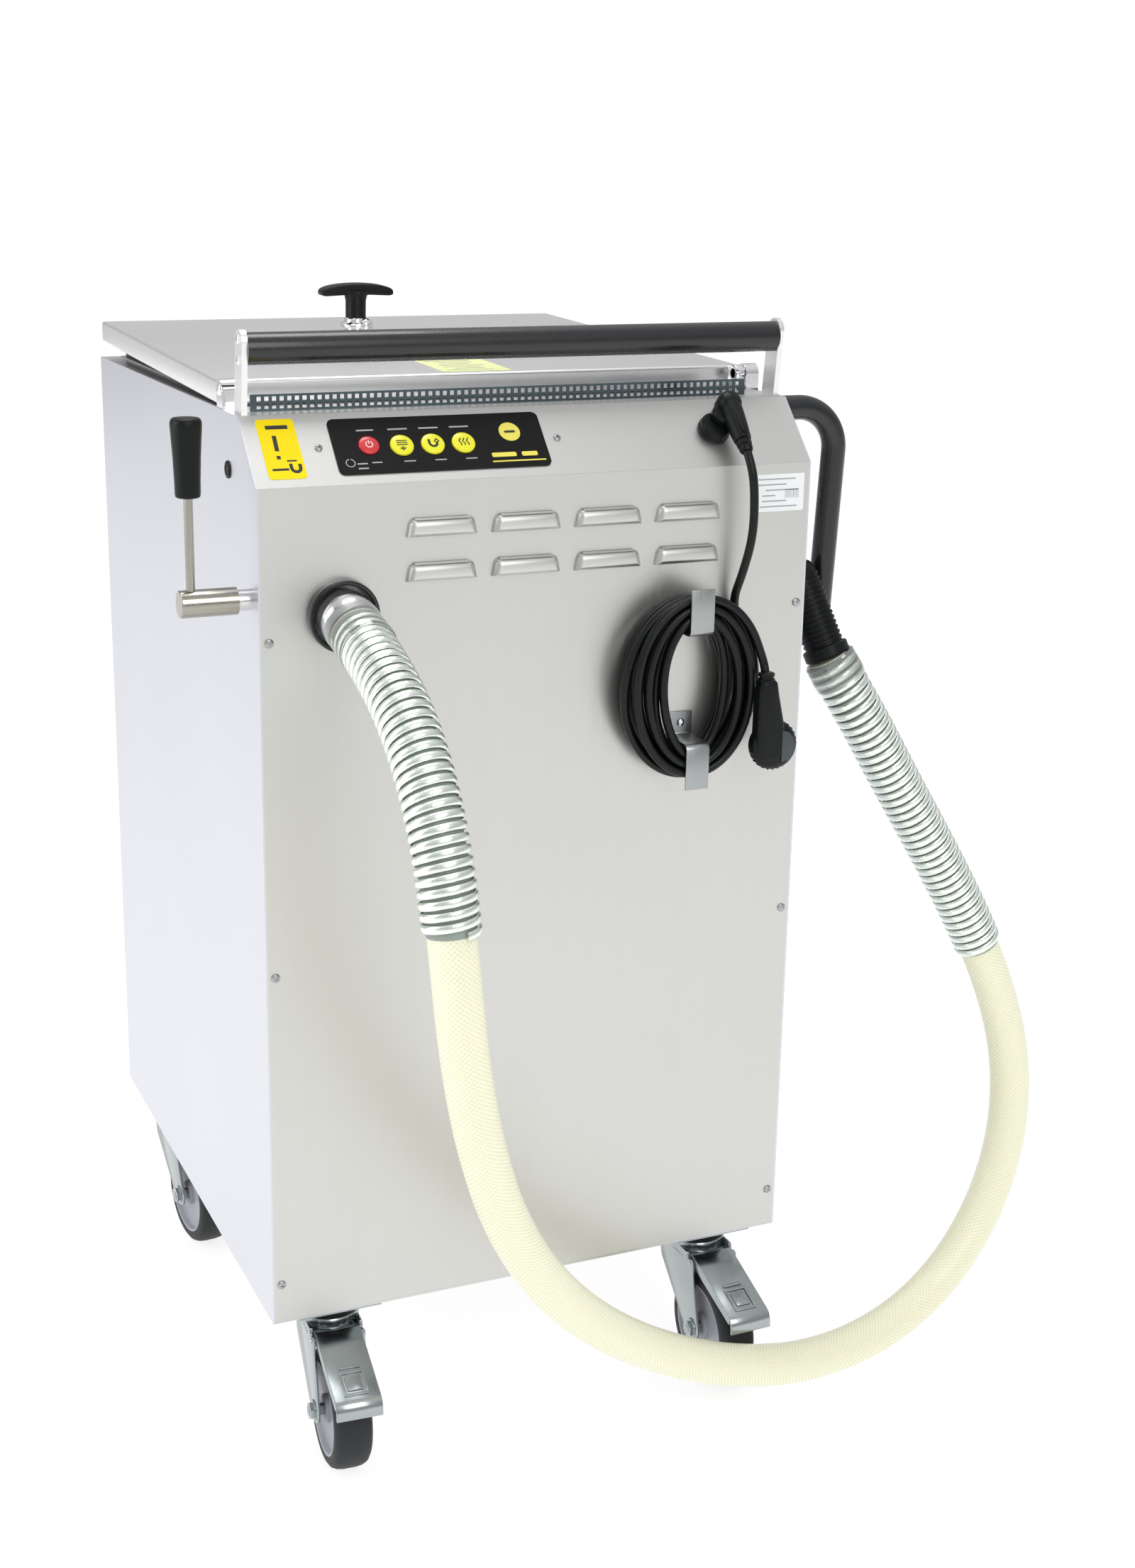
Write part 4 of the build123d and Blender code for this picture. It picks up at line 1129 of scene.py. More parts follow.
@dataclass
class OilHose:
    """The milky hose, its two spring guards, dark liners of painted shade under them and the clear sleeve
    at its far end, in metres.
    """

    diameter: float = 0.0355
    wire_width: float = 0.0062
    wire_pitch: float = 0.0078
    ring_gap: float = 0.004
    shade_radius: float = 0.0181
    controls: list[Point] = field(
        default_factory=lambda: [
            HOSE_START,
            (-0.1634, -0.3420, 0.6940),
            (-0.1605, -0.3926, 0.6618),
            (-0.1585, -0.4312, 0.6158),
            (-0.1565, -0.4542, 0.5604),
            (-0.1530, -0.4615, 0.4970),
            (-0.1430, -0.4550, 0.4280),
            (-0.1265, -0.4430, 0.3600),
            (-0.1010, -0.4265, 0.2900),
            (-0.0610, -0.4065, 0.2210),
            (-0.0040, -0.3850, 0.1570),
            (0.0680, -0.3625, 0.1020),
            (0.1500, -0.3405, 0.0580),
            (0.2360, -0.3195, 0.0310),
            (0.3210, -0.3010, 0.0310),
            (0.3920, -0.2855, 0.0600),
            (0.4430, -0.2730, 0.1140),
            (0.4700, -0.2635, 0.1800),
            (0.4735, -0.2565, 0.2520),
            (0.4540, -0.2505, 0.3260),
            (0.4195, -0.2465, 0.3970),
            (0.3800, -0.2433, 0.4650),
            (0.3385, -0.2398, 0.5320),
            (0.3080, -0.2382, 0.5830),
            (0.2870, -0.2340, 0.6170),
            (0.2735, -0.2270, 0.6430),
        ]
    )

    def build(self) -> None:
        route = Route(self.controls)
        rings = Route.even(int(route.length / self.ring_gap), self.diameter / 2)
        hose = route.tube("oil_hose_tube", 0.0, route.length, rings, 36)
        Bench.dress(hose, HOSE, CABINET, "hose", ("oil_hose",))
        outlet_end = route.nearest_length(Vector((-0.1548, -0.459, 0.530)))
        lance_start = route.nearest_length(Vector((0.4295, -0.2476, 0.362)))
        outlet = self.spring(route, "outlet_spring", 0.001, outlet_end)
        lance = self.spring(route, "lance_spring", lance_start, route.length - 0.001)
        Bench.dress(outlet, SPRING_WIRE, CABINET, "spring_steel", ("outlet_hose_guard",))
        Bench.dress(lance, SPRING_WIRE, CABINET, "spring_steel", ("lance_hose_guard",))
        # Painted shade: dark liners just inside the springs darken the hose between the wire turns.
        shades = [
            route.tube("painted_guard_shade", start, end, Route.even(24, self.shade_radius), 36)
            for start, end in ((0.002, outlet_end - 0.002), (lance_start + 0.002, route.length - 0.002))
        ]
        shade = Bench.joined("painted_shade_under_springs", shades)
        Bench.dress(shade, PAINTED_GUARD_SHADE, CABINET, "hose")
        sleeve = route.tube(
            "lance_end_sleeve",
            route.length - 0.024,
            route.length - 0.0005,
            [(0.0, 0.0219), (0.03, 0.0225), (0.35, 0.0228), (0.65, 0.0224), (0.93, 0.0222), (1.0, 0.0205)],
            48,
        )
        Bench.dress(sleeve, CLEAR_SLEEVE, CABINET, "clear_sleeve")
        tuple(self.controls[0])
        route.length
        [tuple(p) for p in route.points]

    def spring(self, route: Route, name: str, start: float, end: float) -> bpy.types.Object:
        """A flat wire wound round the hose from one distance along it to another.

        Args:
            route: Middle line of the hose.
            name: Name of the piece.
            start: Where the spring starts, in metres.
            end: Where it ends, in metres.

        Returns:
            The spring.
        """
        half = self.wire_width / 2
        section = [
            (-half, 0.0200),
            (-half * 0.92, 0.0210),
            (-half * 0.5, 0.0216),
            (0.0, 0.02175),
            (half * 0.5, 0.0216),
            (half * 0.92, 0.0210),
            (half, 0.0200),
            (0.0, 0.0197),
        ]
        turns = (end - start - self.wire_width) / self.wire_pitch
        steps = int(turns * 26)
        verts, faces = [], []
        for step in range(steps + 1):
            angle = 2 * math.pi * turns * step / steps
            middle = start + half + (end - start - 2 * half) * step / steps
            place, way, side, rise = route.frame_at(middle)
            out = side * math.cos(angle) + rise * math.sin(angle)
            verts.extend(place + way * shift + out * radius for shift, radius in section)
        count = len(section)
        for step in range(steps):
            for k in range(count):
                a, b = step * count + k, step * count + (k + 1) % count
                faces.append((a, b, b + count, a + count))
        faces.append(tuple(reversed(range(count))))
        faces.append(tuple(steps * count + k for k in range(count)))
        return Bench.smooth(Bench.from_faces(name, verts, faces), 60)


@dataclass
class MainsLead:
    """The mains cord with its coil and plug, the angled connector, the inlet and the cord hooks.

    The cord's diameter, length and route are in metres, the other sizes in millimetres.
    """

    cord_diameter: float = 0.007
    coil_centre: tuple[float, float] = (120.3, 641.7)
    inner: tuple[float, float] = (26.7, 56.0)
    outer: tuple[float, float] = (61.5, 76.0)
    back_y: float = -262.6
    layer_pitch: float = 7.1
    layers: int = 4
    layer_turns: float = 2.75
    first_angle: float = 75.0
    steps_per_turn: int = 16
    length: float = 4.0
    connector_x: float = 164.5
    plug_x: float = 184.6
    plug_y: float = -287.5
    plug_radius: float = 20.0
    plug_ribs: int = 28
    hook_x: float = 109.3
    hook_width: float = 20.5
    hook_sheet: float = 1.8

    def coil_controls(self) -> list[Point]:
        """Control points of the coil, layer by layer from the panel outwards.

        Returns:
            The points in metres.
        """
        controls = []
        steps = int(self.layers * self.layer_turns * self.steps_per_turn)
        for step in range(steps + 1):
            turns = step / self.steps_per_turn
            angle = math.radians(self.first_angle) + 2 * math.pi * turns
            layer, share = divmod(turns / self.layer_turns, 1.0)
            if step == steps:
                layer, share = self.layers - 1, 1.0
            spread = 1 - share if layer % 2 == 0 else share
            edge = 0.5 - abs(share - 0.5)
            ease = max(0.0, 0.5 - edge / 0.06) * (1 if share > 0.5 else -1)
            depth = self.back_y - self.layer_pitch * (layer + (ease if 0 < step < steps else 0))
            depth = max(min(depth, self.back_y), self.back_y - self.layer_pitch * (self.layers - 1))
            loose = 1.7 * math.sin(1.9 * turns + layer) * math.sin(angle) ** 2
            reach_x = self.inner[0] + (self.outer[0] - self.inner[0]) * spread + loose
            reach_z = self.inner[1] + (self.outer[1] - self.inner[1]) * spread
            controls.append(
                (
                    (self.coil_centre[0] + reach_x * math.sin(angle)) * MM,
                    depth * MM,
                    (self.coil_centre[1] + reach_z * math.cos(angle)) * MM,
                )
            )
        return controls

    def build(self) -> None:
        """Makes the lead and everything on it."""
        exit_point = FASCIA.at(self.connector_x, 0.0, 17.6)
        lead_in = [
            tuple(exit_point * MM),
            (0.1655, (exit_point.y - 8.0) * MM, (exit_point.z - 12.0) * MM),
            (0.1680, -0.2775, 0.7920),
            (0.1683, -0.2770, 0.7610),
            (0.1640, -0.2710, 0.7310),
            (0.1590, -0.2640, 0.7070),
            (0.1665, -0.2626, 0.6870),
        ]
        lead_out = [(0.1795, -0.2860, 0.6530), (0.1765, -0.2930, 0.6470), (0.1750, -0.2950, 0.6420)]
        cord = self.cord(lead_in + self.coil_controls() + lead_out)
        plug = self.plug()
        self.connector()
        self.inlet()
        self.hooks()
        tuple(lead_in[0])
        self.length

    def cord(self, controls: list[Point]) -> bpy.types.Object:
        """The cord itself, one smooth spline from the connector to the plug.

        Args:
            controls: Control points in metres.

        Returns:
            The cord.
        """
        curve = Route.curve("mains_lead_cord", controls, 6)
        curve.bevel_depth = self.cord_diameter / 2
        curve.bevel_resolution = 4
        curve.use_fill_caps = True
        piece = bpy.data.objects.new("mains_lead_cord", curve)
        bpy.context.scene.collection.objects.link(piece)
        return Bench.dress(piece, BLACK_RUBBER, CABINET, "black_cable", ("mains_cord", "mains_cord_coil"))

    def plug(self) -> bpy.types.Object:
        """A round two-pin plug with a ribbed rim, a tapered neck and a painted highlight on its face.

        Returns:
            The plug's body, which carries its pins.
        """
        low, _ = node_box("mains_plug")
        centre = Vector((self.plug_x, self.plug_y, low.z + self.plug_radius))
        seat = Seat(centre, Vector((1, 0, 0)), Vector((0, 0, 1)))
        disc = Bench.turned(
            "plug_disc",
            seat,
            [
                (17.5, 0.0), (19.2, 1.2), (19.2, 3.5), (19.9, 4.2), (19.9, 9.5), (18.8, 12.0), (15.5, 14.2),
                (9.0, 15.2),
            ],
            60,
        )
        rib = Bench.box("plug_rib", (-0.5, -1.0, 4.4), (0.5, 0.9, 9.4))
        ribs = []
        for k in range(self.plug_ribs):
            Bench.pick(rib)
            bpy.ops.object.duplicate(linked=False)
            angle = 2 * math.pi * k / self.plug_ribs
            out = seat.x * math.cos(angle) + seat.y * math.sin(angle)
            round_seat = Seat(seat.origin + out * 19.7, out.cross(seat.z), out)
            ribs.append(Bench.settle(bpy.context.object, round_seat))
        bpy.data.objects.remove(rib)
        neck = Bench.slab(
            "plug_neck",
            seat.moved(0, 0, 1.0),
            [
                (-18.0, -2.0), (-14.0, -12.0), (4.0, -14.0), (11.0, -2.0), (0.5, 44.0), (-1.5, 55.5),
                (-15.5, 55.5), (-17.5, 44.0),
            ],
            14.5,
        )
        Bench.eased(neck, 4.0, 4, 20)
        collar = Bench.turned(
            "plug_collar",
            Seat.along(seat.at(-8.6, 50.0, 7.5), Vector((-0.02, 0, 1))),
            [(6.8, 0), (6.8, 5.5), (5.8, 6.0), (5.8, 7.5), (6.6, 8.0), (6.6, 10.0), (5.4, 10.6)],
            32,
        )
        # Painted highlight: a thin raised flat on the right of the plug's face, coloured lighter than the
        # black body.
        painted_highlight = Bench.slab(
            "plug_painted_highlight",
            seat.moved(0, 0, 15.0),
            [
                (3.6, -13.0), (10.0, -11.6), (14.2, -6.4), (15.6, 0.0), (14.2, 6.4), (10.0, 11.6),
                (3.6, 13.4),
            ],
            1.0,
        )
        Bench.eased(painted_highlight, 0.4, 2, 50)
        Bench.dress(painted_highlight, PLUG_PAINTED_HIGHLIGHT, CABINET, "black_cable")
        pins = [
            Bench.turned(
                f"plug_pin_{way}",
                Seat.along(seat.at(0, way * 9.5, 0.5), Vector((0, 1, 0))),
                [(2.4, 0), (2.4, 17.5), (1.6, 19.0)],
                20,
            )
            for way in (-1, 1)
        ]
        body = Bench.smooth(Bench.joined("mains_lead_plug", [disc, neck, collar, *ribs]), 35)
        Bench.dress(body, BLACK_MOULDED, CABINET, "black_cable", ("mains_plug",))
        pair = Bench.smooth(Bench.joined("mains_lead_plug_pins", pins), 35)
        Bench.dress(pair, POLISHED, CABINET, "bright_steel")
        for part in (painted_highlight, pair):
            part.parent = body
        return body

    def connector(self) -> bpy.types.Object:
        """The angled connector: a round cap, a tapered body and its strain relief.

        Returns:
            The connector.
        """
        cap = Bench.turned(
            "connector_cap",
            FASCIA.moved(self.connector_x, 47.5, 9.2),
            [(9.2, 0), (10.0, 1.0), (10.0, 9.0), (9.3, 12.5), (7.2, 15.4), (3.6, 16.8), (0.4, 17.1)],
            48,
        )
        nose = Bench.turned(
            "connector_nose",
            FASCIA.moved(158.0, 40.0, 9.2),
            [(8.5, 0), (9.0, 0.8), (9.0, 6.0), (7.5, 8.0)],
            40,
        )
        body = Bench.turned(
            "connector_body",
            Seat.along(FASCIA.at(self.connector_x, 47.5, 17.4), -FASCIA.y),
            [
                (6.0, -3.0), (8.6, 0), (9.0, 8.0), (8.2, 22.0), (7.2, 34.0), (6.9, 36.0), (5.4, 36.6),
                (5.4, 38.0), (6.2, 38.6), (6.0, 41.0), (4.9, 41.6), (4.9, 43.0), (5.6, 43.6),
                (5.3, 46.0), (4.3, 47.5),
            ],
            48,
        )
        grip = Bench.slab(
            "connector_grip",
            FASCIA.moved(self.connector_x, 26.0, 24.6),
            rounded_rectangle(5.0, 24.0, 2.4),
            1.4,
        )
        piece = Bench.joined("lead_connector", [cap, nose, body, Bench.eased(grip, 0.5, 2)])
        return Bench.dress(Bench.smooth(piece, 35), BLACK_MOULDED, CABINET, "black_cable", ("inlet_plug",))

    def inlet(self) -> None:
        """The round inlet that the connector plugs into."""
        piece = Bench.turned(
            "power_inlet_body",
            FASCIA.moved(152.5, 34.0, -10.0),
            [
                (8.6, 0), (8.6, 10.0), (12.8, 10.1), (13.2, 11.0), (13.2, 13.0), (12.4, 14.0), (12.4, 17.6),
                (11.2, 19.0), (6.0, 19.0),
            ],
            56,
        )
        Bench.dress(Bench.smooth(piece, 35), BLACK_MOULDED, CABINET, "black_cable", ("power_inlet",))

    def hooks(self) -> None:
        """Two bent strips that carry the coil, and one screw."""
        low, high = node_box("cord_hooks")
        strips = []
        lip_y = low.y + self.hook_sheet / 2
        for way, ledge, tip in ((1, 686.3, high.z), (-1, 597.1, low.z)):
            line = [(-256.9, ledge + 20.0), (-256.9, ledge + 3.4), (-257.6, ledge + 1.1)]
            line += [(-260.0, ledge), (lip_y + 4.0, ledge), (lip_y + 1.4, ledge + way * 0.9)]
            line += [(lip_y, ledge + way * 3.4), (lip_y, tip)]
            seat = Seat(Vector((self.hook_x, 0, 0)), Vector((0, 1, 0)), Vector((0, 0, 1)))
            strip = Bench.slab("hook_strip", seat, ribbon(line, self.hook_sheet), self.hook_width)
            strips.append(Bench.eased(strip, 0.5, 2, 50))
        piece = Bench.joined("coil_hooks", strips)
        Bench.dress(piece, HOOK_STRIP, CABINET, "bright_steel", ("cord_hooks",))
        seat = FRONT.moved(119.5, 608.0, 1.8)
        head = Bench.turned("hook_screw", seat, [(3.6, -0.2), (3.6, 0.4), (2.9, 1.5), (1.4, 2.0)], 28)
        Bench.dress(Bench.smooth(head), POLISHED, CABINET, "bright_steel")


@dataclass
class Fasteners:
    """Screw heads on the cabinet and the push handle, and the blanking plug on the left side."""

    head_radius: float = 3.6

    def head(self, name: str, seat: Seat, radius: float) -> bpy.types.Object:
        """One domed head with a six-sided socket.

        Args:
            name: Name of the piece.
            seat: Where it sits.
            radius: Radius of the dome.

        Returns:
            The head.
        """
        dome = Bench.turned(
            name,
            seat,
            [(radius, -0.3), (radius, 0.5), (radius * 0.9, 1.1), (radius * 0.66, 1.5), (radius * 0.5, 1.6)],
            28,
        )
        flat = radius * 0.42
        socket = Bench.turned("socket", seat.moved(0, 0, 0.7), [(flat, 0), (flat, 2.0)], 6)
        return Bench.smooth(Bench.cut(dome, socket), 35)

    def build(self) -> None:
        """Makes every head and the plug."""
        heads = [
            self.head("edge_screw", FRONT.moved(side * 222.5, height), self.head_radius)
            for side in (-1, 1)
            for height in (170.5, 435.0, 699.5)
        ]
        heads += [self.head("fascia_screw", FASCIA.moved(x, 34.0), 3.0) for x in (-175.0, 17.0)]
        piece = Bench.joined("cabinet_screws", heads)
        Bench.dress(piece, SCREW_STEEL, CABINET, "bright_steel", ("panel_fixings",))
        handle = []
        for side in (-1, 1):
            out = Vector((side, 0, 0))
            for y, z in ((-202.0, 916.0), (-202.0, 901.0)):
                handle.append(self.head("handle_screw", Seat.along(Vector((side * 225.5, y, z)), out), 3.4))
            pin_end = Seat.along(Vector((side * 229.0, HINGE_Y, HINGE_Z)), out)
            handle.append(self.head("pin_head", pin_end, 4.6))
        Bench.dress(Bench.joined("handle_screws", handle), POLISHED, CABINET, "bright_steel")
        plug = Bench.turned(
            "side_blank",
            Seat.along(Vector((-230.0, -182.6, 818.1)), Vector((-1, 0, 0))),
            [(6.8, -0.2), (6.8, 0.8), (6.2, 1.5), (4.4, 1.9), (3.6, 1.2)],
            36,
        )
        Bench.dress(Bench.smooth(plug), BLACK_MOULDED, CABINET, "black_grip")


@dataclass
class FrontPanel:
    """The front sheet with its pressed louvres."""

    pitch_x: float = 69.0
    pitch_z: float = 33.8
    centre_x: float = 16.6
    centre_z: float = 762.9
    hood: tuple[float, float, float] = (58.0, 6.5, 14.0)
    bend: float = 1.4

    def build(self) -> None:
        """Makes the sheet, cuts its holes and presses its louvres."""
        low, high = node_box("front_panel")
        sheet = Bench.box("front_sheet_metal", (low.x, -256.0, low.z), (high.x, high.y, high.z + self.bend))
        hole = Bench.turned(
            "port_hole",
            Seat.along(Vector((-166.0, -260.0, 717.0)), Vector((0, 1, 0))),
            [(23.8, 0), (23.8, 10.0)],
            64,
        )
        Bench.cut(sheet, hole)
        slots = Bench.box("slots", (-25, -258, -7.5), (25, -250, 4.5))
        slots = self.spread(slots, "slots")
        Bench.cut(sheet, slots)
        hoods = self.spread(self.pressed_hood(), "louvre_hoods")
        piece = Bench.smooth(Bench.joined("front_panel_sheet", [sheet, hoods]), 30)
        Bench.dress(piece, FRONT_SHEET, CABINET, "stainless", ("front_panel",))

    def spread(self, piece: bpy.types.Object, name: str) -> bpy.types.Object:
        """Repeats a piece made at the origin over the four by two field.

        Args:
            piece: A piece made at the origin.
            name: Name of the joined piece.

        Returns:
            The joined piece.
        """
        places = [
            (self.centre_x + self.pitch_x * (column - 1.5), 0.0, self.centre_z + self.pitch_z * (row - 0.5))
            for column in range(4)
            for row in range(2)
        ]
        Bench.pick(piece)
        first = places[0]
        piece.location = Vector(first) * MM
        bpy.ops.object.transform_apply(location=True, rotation=True, scale=True)
        moves = [tuple(Vector(place) - Vector(first)) for place in places[1:]]
        return Bench.copied(piece, moves, name)

    def pressed_hood(self) -> bpy.types.Object:
        """One louvre: a flat face, rounded bends on three sides and an open lower edge.

        Returns:
            The louvre, at the origin of the field.
        """
        width, reach, height = self.hood
        hood = Bench.box("hood", (-width / 2, -256 - reach, -height / 2), (width / 2, -255.6, height / 2))
        bpy.ops.object.mode_set(mode="EDIT")
        bpy.ops.mesh.select_all(action="DESELECT")
        bpy.ops.object.mode_set(mode="OBJECT")
        for vertex in hood.data.vertices:
            at_front = vertex.co.y < (-256 - reach / 2) * MM
            at_top = vertex.co.z > 0
            if at_front:
                vertex.co.x *= 0.93
            if at_top:
                vertex.co.x *= 0.90
            if at_front and at_top:
                vertex.co.z -= 1.5 * MM
        for edge in hood.data.edges:
            a, b = (hood.data.vertices[i].co for i in edge.vertices)
            middle = (a + b) / 2
            along_front = a.y < -0.258 and b.y < -0.258
            on_top = middle.z > 0.004
            upright_front = along_front and abs(a.z - b.z) > 0.01
            edge.select = (along_front and on_top) or upright_front or (
                abs(a.y - b.y) > 0.004 and a.z > 0 and b.z > 0
            )
        bpy.ops.object.mode_set(mode="EDIT")
        bpy.ops.mesh.select_mode(type="EDGE")
        bpy.ops.mesh.bevel(offset=4.6 * MM, segments=6, affect="EDGES")
        bpy.ops.mesh.select_all(action="DESELECT")
        bpy.ops.object.mode_set(mode="OBJECT")
        for face in hood.data.polygons:
            under = face.normal.z < -0.95 and face.center.z < -0.006
            behind = face.normal.y > 0.95
            face.select = under or behind
        bpy.ops.object.mode_set(mode="EDIT")
        bpy.ops.mesh.select_mode(type="FACE")
        bpy.ops.mesh.delete(type="FACE")
        bpy.ops.object.mode_set(mode="OBJECT")
        return Bench.apply(hood, "SOLIDIFY", thickness=1.0 * MM, offset=-1.0)


@dataclass
class Lid:
    """The folded lid with its lugs and pins, its lifting handle and its sticker."""

    skirt: float = 18.5
    length: float = 406.0
    sides: tuple[float, float] = (-228.0, 220.0)
    sheet: float = 1.5
    handle: tuple[float, float] = (-24.5, 277.5)

    def build(self) -> None:
        """Makes the lid and what is on it."""
        self.tray()
        self.lugs()
        self.boss()
        self.tee()
        self.sticker()

    def tray(self) -> None:
        """A sheet folded down on four sides."""
        left, right = self.sides
        tray = Bench.box("lid_tray", (left, 0, -self.skirt), (right, self.length, 0))
        Bench.settle(tray, LID_TOP)
        Bench.apply(
            tray, "BEVEL", width=2.6 * MM, segments=4, limit_method="ANGLE", angle_limit=math.radians(40)
        )
        for face in tray.data.polygons:
            face.select = face.normal.z < -0.9
        bpy.ops.object.mode_set(mode="EDIT")
        bpy.ops.mesh.select_mode(type="FACE")
        bpy.ops.mesh.delete(type="FACE")
        bpy.ops.object.mode_set(mode="OBJECT")
        Bench.apply(tray, "SOLIDIFY", thickness=self.sheet * MM, offset=-1.0)
        Bench.smooth(tray, 30)
        Bench.dress(tray, LID_SHEET, "lid", "stainless", ("lid",))

    def lugs(self) -> None:
        """Two lugs on the front skirt and the pins through them."""
        parts = []
        for x, way in ((-217.0, -1), (217.0, 1)):
            inner = min(x, x - way * 8.0)
            seat = Seat(Vector((inner, HINGE_Y, HINGE_Z)), Vector((0, 1, 0)), Vector((0, 0, 1)))
            outline = arc(7.0, 55, 305, 20) + [(9.3, -5.5), (9.3, 5.5)]
            parts.append(Bench.eased(Bench.slab("lug", seat, outline, 8.0), 0.6, 2))
            pin = Seat.along(Vector((x - way * 8.0, HINGE_Y, HINGE_Z)), Vector((way, 0, 0)))
            parts.append(Bench.turned("pin", pin, [(4.0, 0), (4.0, 18.6), (3.6, 19.0)], 28))
        piece = Bench.smooth(Bench.joined("lid_lugs_and_pins", parts), 35)
        Bench.dress(piece, POLISHED, "lid", "bright_steel")

    def boss(self) -> None:
        """The bright boss that the handle stands on, with a ball catch at its side."""
        seat = LID_TOP.moved(*self.handle)
        ring = Bench.turned(
            "boss_ring",
            seat,
            [
                (10.5, 0), (11.5, 0.6), (11.5, 2.6), (9.4, 3.6), (9.4, 4.4), (13.2, 5.2), (14.0, 6.4),
                (14.0, 8.2), (13.0, 9.4), (10.8, 10.2), (10.4, 12.6), (9.6, 13.6), (9.0, 14.0),
            ],
            56,
        )
        Bench.deselect()
        place = seat.at(6.5, -7.0, 7.0) * MM
        bpy.ops.mesh.primitive_uv_sphere_add(segments=40, ring_count=20, radius=7.2 * MM, location=place)
        ball = Bench.named("boss_ball")
        bpy.ops.object.transform_apply(location=True, rotation=True, scale=True)
        bpy.ops.object.mode_set(mode="EDIT")
        bpy.ops.mesh.select_all(action="SELECT")
        bpy.ops.transform.resize(value=(1.0, 0.95, 1.0), center_override=tuple(place))
        bpy.ops.object.mode_set(mode="OBJECT")
        piece = Bench.smooth(Bench.joined("handle_boss", [ring, ball]), 35)
        Bench.dress(piece, POLISHED, "lid", "bright_steel", ("lid_handle_boss",))

    def tee(self) -> None:
        """The black tee: a waisted stem under a crescent bar."""
        seat = LID_TOP.moved(*self.handle)
        stem = Bench.turned(
            "tee_stem",
            seat,
            [(8.8, 13.0), (9.2, 14.0), (9.2, 22.0), (9.3, 29.0), (10.2, 33.0), (12.5, 36.0), (12.5, 38.0)],
            48,
        )
        top = [
            (33.6 * math.cos(math.radians(a)), 36.8 + 7.4 * math.sin(math.radians(a)) ** 0.9)
            for a in range(6, 175, 6)
        ]
        under = [
            (-33.8, 35.4), (-33.0, 33.9), (-30.0, 33.2), (-12.0, 34.0), (12.0, 34.0), (30.0, 33.2),
            (33.0, 33.9), (33.8, 35.4),
        ]
        bar_seat = Seat(seat.at(0, 8.0, 0), seat.x, seat.z)
        bar = Bench.slab("tee_bar", bar_seat, top + under, 16.0)
        Bench.eased(bar, 3.4, 4, 50)
        piece = Bench.smooth(Bench.joined("handle_tee", [stem, bar]), 40)
        Bench.dress(piece, BLACK_MOULDED, "lid", "black_grip", ("lid_handle",))

    def sticker(self) -> None:
        """A pale notice near the lid's front edge, with plain lines."""
        seat = LID_TOP.moved(-12.0, 44.0)
        label = Bench.slab("lid_sticker", seat, rounded_rectangle(58.0, 74.0, 2.0), 0.25)
        Bench.dress(label, STICKER_PALE, "lid", "yellow_button")
        lines = [
            Bench.bar(seat.moved(-4.0 + 3.0 * (k % 2), 26.0 - 9.0 * k, 0.2), 40.0 - 7 * (k % 3), 2.2, 0.8)
            for k in range(7)
        ]
        Bench.dress(Bench.joined("lid_sticker_lines", lines), INK_GREY, "lid", "overlay")


